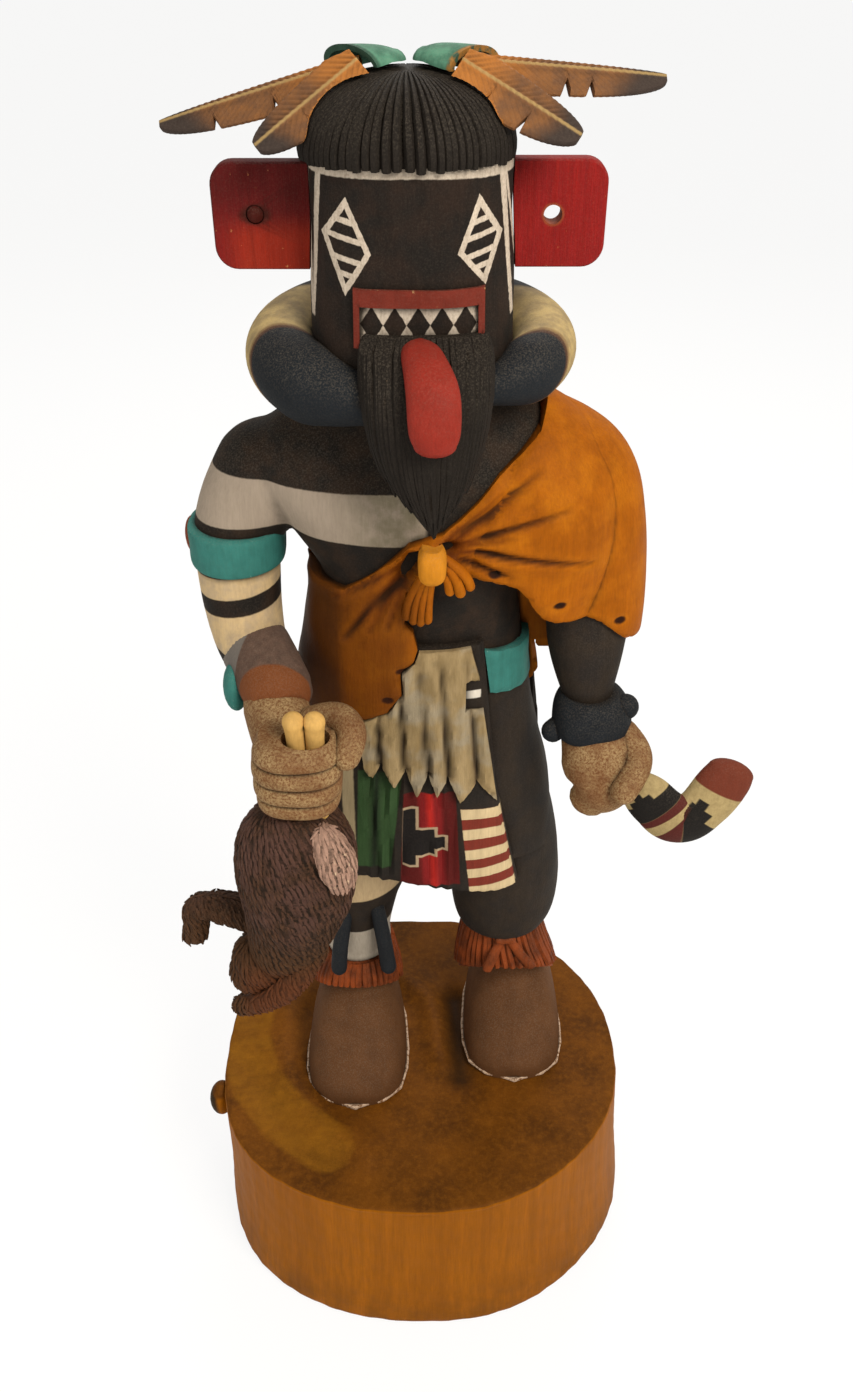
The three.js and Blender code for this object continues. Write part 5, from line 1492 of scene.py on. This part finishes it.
def left_arm_parts():
    arm = form("left arm", limb([
        (40, 6, 262, 11, 12), (43.6, 3, 240, 11, 11.6), (43.8, -1, 227, 9.8, 9.6), (44.6, -4, 215, 6.8, 7),
    ], 48, 48), "leg bands")
    band = form("wristband", loft([
        (203.2, 46, -7, 8.6, 8.2, 2.1), (204.6, 46, -6.9, 9.9, 9.3, 2.2), (207, 46, -6.8, 10.3, 9.7, 2.2),
        (211, 46, -5.8, 9.9, 9.5, 2.2), (213.6, 45.7, -5.2, 8.6, 8.6, 2.1), (214.6, 45.6, -5, 7.4, 7.4, 2),
    ], 56, 24), "garter paint")
    knob = form("wristband knob", ball(54.4, -8, 211.6, 3.4), "garter paint")
    end = form("wristband end", limb([(38.6, -8, 206.6, 2.9, 2.9), (35.8, -9.4, 204.8, 3, 2.9)], 20, 6),
               "garter paint")
    hand = form("left hand", limb([
        (46, -7.5, 205, 8.4, 7.6), (48.6, -12, 198.5, 10.4, 8), (48.4, -15.2, 191.8, 9, 7.2),
        (46, -15.6, 187.4, 5.6, 4.6)], 40, 32), "hand paint")
    finger = form("forefinger", limb([
        (54, -10, 204.6, 4, 4), (57.4, -16, 200.4, 3.9, 3.9), (53.4, -22.6, 195.4, 3.5, 3.5)], 24, 24),
        "hand paint")
    carve(hand, "UNION", finger)
    return [arm, band, knob, end, hand]


def ruff_rings():
    rows = []
    count = 24
    for i in range(count + 1):
        turn = 0.54 + (2 * math.pi - 0.36 - 0.54) * i / count
        back = 0.5 - 0.5 * math.cos(turn)
        near = min(i, count - i)
        slim = max(0, 1 - i / 10)
        radius = 8.5 * min(1, 0.6 + 0.2 * near) - 2.2 * slim
        rows.append((0.8 + 29.3 * math.sin(turn) - 2.2 * slim, 3 - 25.5 * math.cos(turn),
                     298 + 6 * back**0.7 + slim, radius))
    return limb(rows, 44, 110, across=(0, 0, 1), caps=7)


def hair_parts():
    """A dome under strands that run from the crown to a cut rim."""
    def dome(shrink):
        rim = HAIR_RADIUS - 1 - shrink
        rows = [(HAIR_RIM - HAIR_LIP, *HAIR_CENTRE, rim, rim, HAIR_SQUARE)]
        for lift in np.linspace(0, 1, 9):
            spread = math.sqrt(1 - min(lift, 0.985) ** 2.1)
            size = HAIR_RADIUS * spread - shrink * min(1, 3 * (1 - lift) + 0.3)
            size = max(size, 1)
            height = HAIR_RIM + (HAIR_PEAK - shrink * 0.7 - HAIR_RIM) * lift
            rows.append((height, *HAIR_CENTRE, size, size, HAIR_SQUARE))
        return rows

    core = form("hair core", loft(dome(1.3), 72, 30), "hair paint")
    rng = np.random.default_rng(4)
    paths = []
    count = sizes().hair_strands
    for i in range(count):
        angle = 2 * math.pi * (i + rng.uniform(-0.2, 0.2)) / count
        drop = rng.uniform(-0.5, 0.3)
        path = []
        for lift in (0.97, 0.9, 0.8, 0.66, 0.5, 0.34, 0.2, 0.08, 0.0):
            reach = (HAIR_RADIUS - 0.95) * math.sqrt(1 - lift**2.1)
            lean = angle + 0.02 * math.sin(3 * angle) * (1 - lift)
            path.append((
                HAIR_CENTRE[0] + reach * squared(math.cos(lean), HAIR_SQUARE),
                HAIR_CENTRE[1] + reach * squared(math.sin(lean), HAIR_SQUARE),
                HAIR_RIM + (HAIR_PEAK - HAIR_RIM - 0.9) * lift, 0.35 + 0.65 * min(1, 1.5 * (1 - lift)),
            ))
        x, y, z, _ = path[-1]
        path.append((x * 0.995, y * 0.995, z - HAIR_LIP + drop, 0.9))
        paths.append(path)
    return [core, *loose_parts(strands("hair strands", paths, "hair paint", 1.02, 6, 0.3, 4))]


def beard_parts():
    """A core under two layers of strands that narrow to a ragged point."""
    core = form("beard core", loft(BEARD, 48, 30, grow=-1.6), "hair paint")
    low, high, tiers = BEARD[0][0], BEARD[-1][0], 40
    _, rows = spline(BEARD, tiers)
    rng = np.random.default_rng(9)
    paths = []
    count = sizes().beard_strands
    for layer, share in enumerate((1.0, 0.72)):
        for i in range(count):
            across = -1 + 2 * (i + rng.uniform(-0.3, 0.3)) / (count - 1)
            turn = across * 1.5
            side_length = 23 if across < 0 else 29
            length = (39.5 - (39.5 - side_length) * abs(across) ** 1.4) * share * rng.uniform(0.88, 1.01)
            path = []
            for k in range(11):
                t = k / 10
                z = 311.5 - length * t
                row = rows[int(np.clip(round((z - low) / (high - low) * tiers), 0, tiers))]
                spread = max(row[2] - 0.6, 2.2 * (1 - t) + 1)
                path.append((
                    row[0] + spread * math.sin(turn),
                    row[1] - (row[3] - 0.6) * math.cos(turn) + layer * 0.4,
                    z, (0.8 + 0.3 * math.sin(math.pi * t)) * (1 - 0.7 * t**4),
                ))
            paths.append(path)
    hanging = loose_parts(strands("beard strands", paths, "hair paint", 0.95, 6, 0.7, 9))
    tongue = form("tongue", limb([
        (1.2, -19, 309, 3.8, 2.4), (2.4, -27, 309.4, 4.4, 2.6), (4.2, -34.6, 305.4, 5.3, 2.8),
        (4.6, -37.6, 299, 5.2, 2.7), (4.7, -38, 296, 4.3, 2.4)], 36, 40, caps=8), "tongue paint")
    return [core, *hanging, tongue]


def head_parts():
    mask = form("mask", loft(MASK, 120, 30), "mask paint")
    frame_form = form("mouth frame", loft(MASK, 120, 30, grow=1.1), "mouth paint")
    cut = prism(MOUTH_OUTER, -FAR, -5, "mouth paint")
    carve(cut, "DIFFERENCE", prism(MOUTH_INNER, -FAR - 1, -4, "mouth paint"))
    carve(frame_form, "INTERSECT", cut)
    ruff = form("ruff", ruff_rings(), "ruff paint")
    return [mask, frame_form, ruff, *hair_parts(), *beard_parts()]


def build_figure():
    """Joins every part of the figure into one closed mesh, and clears room for the stick."""
    torso = form("torso", loft(TORSO, 110, 80), "body black")
    right_arm, on_right_arm = right_arm_parts()
    soften(carve(torso, "UNION", right_arm))
    parts = [form("hips", loft(HIPS, 80, 44), "leg bands")]
    parts += right_leg_parts() + left_leg_parts()
    parts += cuff_parts(LEFT_CUFF, 15, 2) + cuff_parts(RIGHT_CUFF, 12, 3)
    parts += moccasin_parts(*RIGHT_FOOT) + moccasin_parts(*LEFT_FOOT)
    parts += kilt_parts() + cloth_parts() + on_right_arm + left_arm_parts() + head_parts()
    figure = carve(torso, "UNION", *parts)
    carve(figure, "DIFFERENCE", form("stick room", stick_rings(0.25), "hand paint"))
    return settle(figure, "figure_carving", "painted_wood", "figure")


# The other pieces

def build_stick():
    rings = stick_rings()
    middle = rings.mean(axis=1)
    along = np.concatenate([[0], np.cumsum(np.linalg.norm(np.diff(middle, axis=0), axis=1))])
    angle = np.linspace(0, 2 * math.pi, rings.shape[1], endpoint=False)
    marks = {
        "along": np.repeat(along[:, None], rings.shape[1], axis=1),
        "across": np.repeat(np.sin(angle)[None, :], rings.shape[0], axis=0),
    }
    stick = form("stick", rings, "stick paint", marks)
    return settle(stick, "throwing_stick_painted", "stick_wood", "throwing_stick")


def build_block():
    """Block with a sculpted top, a soft upper rim, a crescent facet and a knot on its side."""
    sides, rim_steps, top_steps = 220, 6, 60
    centre_y, height = 5.3, 60
    angle = np.linspace(0, 2 * math.pi, sides, endpoint=False)
    wobble = 1 + 0.012 * np.sin(3 * angle + 1) + 0.009 * np.sin(5 * angle + 2.2)
    wobble += 0.0012 * np.sin(41 * angle) + 0.0009 * np.sin(67 * angle + 1)
    square = 2.35
    u = 65.5 * squared(np.cos(angle), square)
    v = 60 * squared(np.sin(angle), square)

    def ground(x, y):
        def bump(path, width):
            away = np.min([to_line(x, y, *ends)[0] for ends in zip(path, path[1:])], axis=0)
            return np.exp(-(away / width) ** 2)

        side_ridge = [(-36, 36), (-45, 22), (-46, 4), (-40, -12), (-29, -26), (-16, -35)]
        middle_ridge = [(-4, 34), (4, 25), (7, 12), (9, 0)]
        hollow = [(13, 26), (13, 8), (14, -6)]
        raised = 3 * bump(side_ridge, 7) + 2.4 * bump(middle_ridge, 5) - 2.2 * bump(hollow, 5)
        tool = 0.22 * np.sin(x * 0.33 + 1) * np.sin(y * 0.27) - 0.2
        facet = [(-50, 44), (-58, 26), (-59, 8), (-53, -10), (-42, -24), (-28, -34)]
        pale = np.clip((bump(facet, 9) - 0.37) / 0.12, 0, 1)
        return height + raised + tool, pale, bump(hollow, 4.2)

    heights, scales = spline([(0, 1.025), (3, 1.045), (30, 1.015), (58.4, 1)], 70)
    rings, crescent, hollows = [], [], []
    for level, (scale,) in zip(heights, scales):
        lean = 1.8 * (1 - level / height)
        dents = 1 + 0.0006 * np.sin(level * 0.7 + 23 * angle)
        rings.append(np.column_stack([
            u * scale * wobble * dents + lean, centre_y + v * scale * wobble * dents * 0.998,
            np.full(sides, level)]))
        crescent.append(np.zeros(sides))
        hollows.append(np.zeros(sides))
    edge = 0.985
    for k in range(1, rim_steps + top_steps):
        if k < rim_steps:
            share = 1 - (1 - edge) * (1 - math.cos(math.pi / 2 * k / rim_steps))
            drop = 1.4 * (1 - math.sin(math.pi / 2 * k / rim_steps))
        else:
            share = edge * (1 - (k - rim_steps) / top_steps)
            drop = 0
        x, y = u * share * wobble, centre_y + v * share * wobble
        z, ridge, hollow = ground(x, y)
        rings.append(np.column_stack([x, y, z - drop]))
        crescent.append(ridge)
        hollows.append(hollow)
    # The hollow mark sets where shade is painted on the top.
    marks = {"crescent": np.array(crescent), "hollow": np.array(hollows)}
    block = form("block", np.array(rings), "block stain", marks)
    carve(block, "UNION", form("side knot", ball(-65.3, -9, 52, 5, (0.78, 1, 1.25)), "block stain"))
    room = moccasin_parts(*RIGHT_FOOT) + moccasin_parts(*LEFT_FOOT)
    for piece in room:
        grow = piece.modifiers.new("room", "DISPLACE")
        grow.strength = 0.25 * MM
        grow.mid_level = 0
        bake(piece)
    carve(block, "DIFFERENCE", *room)
    return settle(block, "root_block", "root_wood", "base")


def ear(side):
    """A flat red tab with a round hole, stopped up on the doll's right."""
    inner, outer, corner = 18, (41 if side < 0 else 39.9), 4.6
    low, high = (319.9, 341) if side < 0 else (320.4, 341.6)
    corners = []
    for start, middle_z in ((-90, low + corner), (0, high - corner)):
        for step in range(9):
            turn = math.radians(start + 90 * step / 8)
            corners.append((outer - corner + corner * math.cos(turn), middle_z + corner * math.sin(turn)))
    outline = [(side * x, z) for x, z in [(inner, low), *corners, (inner, high)]]
    flat = np.array(outline)
    away = unit(flat - (side * (inner + outer) / 2, (low + high) / 2))
    rings = []
    for y, out in ((-2, -0.5), (-1.55, -0.12), (-1.1, 0), (2.1, 0), (2.55, -0.12), (3, -0.5)):
        moved = flat + away * out
        rings.append(np.column_stack([moved[:, 0], np.full(len(moved), y), moved[:, 1]]))
    tab = form("ear", np.array(rings), "ear paint")
    hole_x = -32.1 if side < 0 else 28.9
    hole = limb([(hole_x, -8, 331, 1.9), (hole_x, 8, 331, 1.9)], 28, 2)
    carve(tab, "DIFFERENCE", form("ear hole", hole, "ear paint"))
    if side < 0:
        plug = limb([(hole_x, -0.9, 331, 2), (hole_x, 2.2, 331, 2)], 20, 3, caps=2)
        carve(tab, "UNION", form("ear plug", plug, "ear paint"))
    carve(tab, "DIFFERENCE", form("mask room", loft(MASK, 96, 20, grow=0.3), "ear paint"))
    return settle(tab, f"ear_{SIDES[side]}_painted", "red_wood", f"ear_{SIDES[side]}")


def hair_room():
    """The hair's outer form, grown a little, to cut what rests on it."""
    rows = [(HAIR_RIM - HAIR_LIP, *HAIR_CENTRE, HAIR_RADIUS, HAIR_RADIUS, HAIR_SQUARE)]
    for lift in np.linspace(0, 1, 9):
        size = HAIR_RADIUS * math.sqrt(1 - min(lift, 0.985) ** 2.1) + 0.3
        height = HAIR_RIM + (HAIR_PEAK + 0.3 - HAIR_RIM) * lift
        rows.append((height, *HAIR_CENTRE, size, size, HAIR_SQUARE))
    return form("hair room", loft(rows, 64, 30), "tie paint")


# A tie is a flattened tube on the crown: its path, a point of its slanting mouth, and the way inwards
TIES = {
    -1: ([(-3.3, 1.5, 358.3, 4, 2.4), (-8, 1, 358.1, 6.2, 3.4), (-18.5, 1.2, 357.3, 6.8, 4)],
         (-12, 1.5, 358.6), (0.731, 0.639, 0.242)),
    1: ([(2.9, 2.2, 358.7, 4, 2.4), (7, 1.4, 358.3, 6.2, 3.4), (18, 0.6, 356.9, 6.6, 4)],
        (11.4, -0.2, 357.3), (-0.759, 0.63, 0.162)),
}
TIE_WALL = 1.1
TIE_MOUTH_DEPTH = 4


def half_space(point, way):
    """A large block whose one face goes through a point, on the side that a direction leads to."""
    first = unit(np.cross(way, (0, 0, 1))) * FAR / 2
    second = np.cross(way, first)
    near = np.array([point - first - second, point + first - second, point + first + second,
                     point - first + second])
    return form("half space", np.array([near, near + way * FAR / 2]), "tie paint")


def tie_body(side, grow=0.0):
    """A tie's tube up to its mouth, hollowed from there."""
    path, *mouth = TIES[side]
    rim, way = np.array(mouth)
    outer = [(x, y, z, a + grow, b + grow) for x, y, z, a, b in path]
    hollow = [(x, y, z, a - TIE_WALL - grow, b - TIE_WALL - grow) for x, y, z, a, b in path]
    tie = form("tie", limb(outer, 48, 40, across=(0, 1, 0)), "tie paint")
    carve(tie, "INTERSECT", half_space(rim - way * grow, way))
    room = form("tie mouth", limb(hollow, 40, 30, across=(0, 1, 0)), "tie paint")
    carve(room, "INTERSECT", half_space(rim + way * (TIE_MOUTH_DEPTH - grow), -way))
    return carve(tie, "DIFFERENCE", room)


def build_tie(side):
    """A hollow-mouthed tube on the crown."""
    tie = tie_body(side)
    carve(tie, "DIFFERENCE", hair_room())
    name = f"feather_tie_{SIDES[side]}"
    return settle(tie, f"{name}_painted", "green_wood", name)


FEATHERS = {
    "feather_right_upper": (-1, (-9.5, 0.6, 358.6), (-51.4, 6, 346.4), 1.6, 6.6, 0, (0.42, 0.72)),
    "feather_right_lower": (-1, (-9.5, -2.4, 357.8), (-29.6, -9.6, 343.8), 4.8, 7, 1, (0.25, 0.55)),
    "feather_left_upper": (1, (9, 0.8, 358.6), (51.4, 8, 354.6), 1.7, 6.8, 0, (0.5, 0.62)),
    "feather_left_lower": (1, (9.4, -2.4, 357.6), (32.4, -10, 345.6), 4.8, 7.4, 1, (0.3, 0.6)),
}


def build_feather(name):
    """A flat feather with a raised shaft, slanted barbs and a split edge."""
    side, root, tip, above, below, layer, splits = FEATHERS[name]
    start = np.array(root)
    length = np.linalg.norm(np.array(tip) - start)
    way = (np.array(tip) - start) / length
    facing = np.array((0, -0.68, 0.73))
    facing = unit(facing - way * (facing @ way))
    across = np.cross(facing, way) * side
    normal = np.cross(way, across)
    thickness = 1.7
    shift = side * layer * 2.1
    steps, half = 110, 12
    t = np.linspace(0.004, 0.985, steps + 1)
    share = np.minimum(1, 0.62 + 2 * t) * np.sqrt(np.maximum(0, 1 - t**5)) * (1 - 0.25 * t)
    cut = np.ones_like(t)
    for split in splits:
        gap = t - split
        notch = 0.45 + 0.55 * np.clip(-gap / 0.03, 0, 1)
        cut = np.minimum(cut, np.where((gap > -0.03) & (gap < 0.006), notch, 1))
    upper, lower = above * share, below * share * cut
    low_side, high_side = np.linspace(-1, 0, half, endpoint=False), np.linspace(0, 1, half + 1)
    rings = []
    marks = {"along": [], "across": [], "barb": [], "shaft": []}
    for i, place in enumerate(t):
        flat = np.concatenate([low_side * lower[i], high_side * upper[i]])
        raised = 0.35 * np.exp(-(flat / 0.5) ** 2) + 0.1 * np.sin((place * length - np.abs(flat) * 1.1) * 4.2)
        thin = np.minimum(1, 0.35 + 1.3 * (1 - np.abs(np.concatenate([low_side, high_side])) ** 6))
        top = thickness / 2 * thin + raised * np.minimum(1, 4 * (1 - place))
        bottom = -(thickness / 2 * thin + raised * 0.6)
        outline = np.concatenate([flat, flat[::-1]])
        depth = np.concatenate([top, bottom[::-1]]) * side
        middle = start + way * place * length + normal * shift
        rings.append(middle + outline[:, None] * across + depth[:, None] * normal)
        marks["along"].append(np.full(len(outline), place))
        marks["across"].append(outline / below)
        marks["barb"].append((place * length - np.abs(outline) * 1.1) * 0.67)
        marks["shaft"].append(np.ones(len(outline)))
    feather = form("feather", np.array(rings), "feather paint", marks)
    carve(feather, "DIFFERENCE", tie_body(side, 0.3))
    carve(feather, "DIFFERENCE", hair_room())
    return settle(feather, f"{name}_painted", "feather_wood", name)


def fur_tree():
    """Geometry nodes that set carved strokes of fur over a surface."""
    tree, taken, end = stroke_group("Carved fur", "Coat", (
        ("Spacing", "Float", 1.5 * MM), ("Seed", "Int", 3), ("Stroke", "Object", None),
        ("Lie", "Vector", (0, 0, -1)),
    ))
    scatter = add_node(tree, "GeometryNodeDistributePointsOnFaces", {
        "Mesh": taken["Coat"], "Distance Min": taken["Spacing"], "Density Max": 900000, "Seed": taken["Seed"],
    }, distribute_method="POISSON")
    lie = add_node(tree, "FunctionNodeAlignRotationToVector", {
        "Rotation": scatter.outputs["Rotation"], "Vector": taken["Lie"],
    }, axis="X", pivot_axis="Z")
    size = add_node(tree, "FunctionNodeRandomValue", {
        2: 0.75, 3: 1.3, "Seed": taken["Seed"],
    }, data_type="FLOAT")
    stroke = add_node(tree, "GeometryNodeObjectInfo", {"Object": taken["Stroke"]})
    laid = add_node(tree, "GeometryNodeInstanceOnPoints", {
        "Points": scatter.outputs["Points"], "Instance": stroke.outputs["Geometry"],
        "Rotation": lie.outputs[0], "Scale": size.outputs[1],
    })
    return give_strokes(tree, laid.outputs[0], taken, end)


def fur_on(coat, spacing, lie, seed, surface):
    """Strokes of fur over a coat, as a mesh of closed strokes."""
    stroke = form("stroke", limb([
        (-1.3, 0, -0.05, 0.22, 0.1), (-0.5, 0, 0.05, 0.42, 0.26), (0.5, 0, 0.1, 0.4, 0.28),
        (1.5, 0, 0.12, 0.14, 0.1)], 5, 4, across=(0, 1, 0), caps=1), surface)
    holder = coat.copy()
    holder.data = coat.data.copy()
    bpy.context.scene.collection.objects.link(holder)
    run_nodes(holder, fur_tree(), {
        "Spacing": spacing, "Seed": seed, "Stroke": stroke, "Lie": lie, "Finish": finish(surface),
    })
    bake(holder)
    bpy.data.objects.remove(stroke)
    return holder


def build_rabbit():
    """Rabbit that hangs by its hind legs through the right fist."""
    body = form("rabbit body", loft(RABBIT_BODY, 72, 56), "fur paint")
    limbs = [
        [(-37, -34, 152, 7, 7), (-41.5, -34.5, 146.5, 8.4, 8), (-44.5, -35, 142.5, 6.2, 6)],
        [(-40, -31, 158, 5, 4.6), (-51, -29.6, 161, 4.4, 4), (-58, -29, 160.4, 3.8, 3.6),
         (-59.4, -28.6, 154, 3.4, 3.2), (-60.4, -28.2, 149.6, 3.4, 3)],
        [(-27.6, -36.6, 153, 4.4, 4.4), (-33.4, -41, 144, 3.8, 3.6), (-40.5, -40, 136.4, 3.2, 3),
         (-47.8, -36.6, 130.6, 3, 2.8)],
        [(-40, -30, 142, 2.8, 1.8), (-33, -27.6, 147.6, 3.4, 1.8), (-27, -26.4, 152.5, 2.4, 1.6)],
    ]
    carve(body, "UNION", *(form("rabbit limb", limb(rows, 26, 30), "fur paint") for rows in limbs))
    coat = fur_on(body, sizes().fur_spacing, (0.35, 0, -1), 5, "fur paint")
    tail = form("tail", limb([(-21.6, -43.6, 199, 3.4, 2.6), (-18.7, -45, 191.6, 5, 3.2),
                              (-17.6, -45, 185.4, 3.6, 2.6)], 26, 24, across=(0.75, 0.6, 0)), "tail paint")
    tuft = fur_on(tail, 1.1 * MM, (0.1, 0, -1), 6, "tail paint")
    feet = []
    for i, x in enumerate((BORE_X - 2.2, BORE_X + 2.2)):
        rows = [(x, FIST[1] - 0.4, 199, 2.2), (x, FIST[1] - 0.6, 222, 2.2),
                (x + (i - 0.5) * 0.4, FIST[1] - 1.4, 229.6, 2.6)]
        feet.append(form("hind foot", limb(rows, 22, 24, caps=5), "foot paint"))
    carve(body, "UNION", tail, *feet, *loose_parts(coat), *loose_parts(tuft))
    return settle(body, "rabbit_carving", "rabbit_wood", "rabbit")


# The stage

def build_stage():
    """Pale floor that the camera sees as white, soft studio lights and the camera."""
    scene = bpy.context.scene
    scene.view_settings.view_transform = "Standard"
    surface = bpy.data.materials.new("studio floor")
    surface.use_nodes = True
    tree = surface.node_tree
    shader = tree.nodes["Principled BSDF"]
    shader.inputs["Base Color"].default_value = (0.97, 0.965, 0.95, 1)
    shader.inputs["Roughness"].default_value = 0.9
    seen = Reading(tree, tree.nodes.new("ShaderNodeLightPath").outputs["Is Camera Ray"])
    blend = add_node(tree, "ShaderNodeMixShader", {
        0: seen * FLOOR_WHITENESS, 1: shader.outputs[0], 2: tree.nodes.new("ShaderNodeEmission").outputs[0],
    })
    tree.links.new(blend.outputs[0], tree.nodes["Material Output"].inputs["Surface"])
    mesh = bpy.data.meshes.new("floor")
    corners = [(x * FLOOR_REACH, y * FLOOR_REACH, 0) for x, y in ((-1, -1), (1, -1), (1, 1), (-1, 1))]
    mesh.from_pydata(corners, [], [(0, 1, 2, 3)])
    mesh.materials.append(surface)
    floor = linked("floor", mesh)
    scene.world = bpy.data.worlds.new("studio")
    scene.world.use_nodes = True
    tree = scene.world.node_tree
    seen = tree.nodes.new("ShaderNodeLightPath").outputs["Is Camera Ray"]
    bright = add_node(tree, "ShaderNodeMapRange", {"Value": seen, "To Min": SKY_LIGHT, "To Max": SKY_SEEN})
    background = tree.nodes["Background"]
    background.inputs["Color"].default_value = (1, 0.97, 0.91, 1)
    tree.links.new(bright.outputs["Result"], background.inputs["Strength"])
    for name, (place, power, width, colour) in LIGHTS.items():
        data = bpy.data.lights.new(name, "AREA")
        data.energy = power
        data.size = width
        data.color = colour
        light = linked(name, data)
        light.location = place
        x, y, z = unit(np.array(AIM) - place)
        light.rotation_euler = (math.acos(-z), 0, math.atan2(y, x) - math.pi / 2)
    data = bpy.data.cameras.new("camera")
    data.sensor_width = SENSOR
    data.lens = FOCAL_PIXELS / PHOTO_HEIGHT * SENSOR
    scene.camera = linked("camera", data)
    scene.camera.location = CAMERA_PLACE
    scene.camera.rotation_euler = (math.radians(CAMERA_TILT), 0, 0)


class DollOperator:
    """What the doll's operators share."""

    bl_options = {"REGISTER", "UNDO"}

    @classmethod
    def poll(cls, context):
        return context.scene is not None


def operator(identifier, label, text, action):
    """An operator class that runs one build function."""
    def execute(self, context):
        action()
        return {"FINISHED"}

    name = "DOLL_OT_" + identifier
    return type(name, (DollOperator, bpy.types.Operator), {
        "bl_idname": "doll." + identifier, "bl_label": label, "__doc__": text, "execute": execute,
    })


def build_ears():
    for side in (-1, 1):
        ear(side)


def build_ties():
    for side in (-1, 1):
        build_tie(side)


def build_feathers():
    for name in FEATHERS:
        build_feather(name)


OPERATORS = [
    operator("stage", "Stage", "Makes the floor, the lights and the camera", build_stage),
    operator("block", "Root block", "Makes the block that the doll stands on", build_block),
    operator("figure", "Figure", "Makes the carved and painted figure", build_figure),
    operator("ears", "Ears", "Makes the two red ears", build_ears),
    operator("ties", "Feather ties", "Makes the two ties on the crown", build_ties),
    operator("feathers", "Feathers", "Makes the four feathers", build_feathers),
    operator("rabbit", "Rabbit", "Makes the hanging rabbit", build_rabbit),
    operator("stick", "Stick", "Makes the banded stick", build_stick),
]


class DOLL_PT_panel(bpy.types.Panel):
    """Lists the doll's pieces in the sidebar."""

    bl_label = "Carved doll"
    bl_space_type = "VIEW_3D"
    bl_region_type = "UI"
    bl_category = "Carved doll"

    def draw(self, context):
        for item in OPERATORS:
            self.layout.operator(item.bl_idname)
        for group in (context.scene.doll_sizes, context.scene.doll_colours):
            for name in group.__annotations__:
                self.layout.prop(group, name)


CLASSES = [DollSizes, DollColours, *OPERATORS, DOLL_PT_panel]


def register():
    for item in CLASSES:
        bpy.utils.register_class(item)
    bpy.types.Scene.doll_sizes = bpy.props.PointerProperty(type=DollSizes)
    bpy.types.Scene.doll_colours = bpy.props.PointerProperty(type=DollColours)


def unregister():
    del bpy.types.Scene.doll_colours
    del bpy.types.Scene.doll_sizes
    for item in reversed(CLASSES):
        bpy.utils.unregister_class(item)


def main():
    register()
    for step in ("stage", "block", "figure", "ears", "ties", "feathers", "rabbit", "stick"):
        getattr(bpy.ops.doll, step)()


if __name__ == "__main__":
    main()
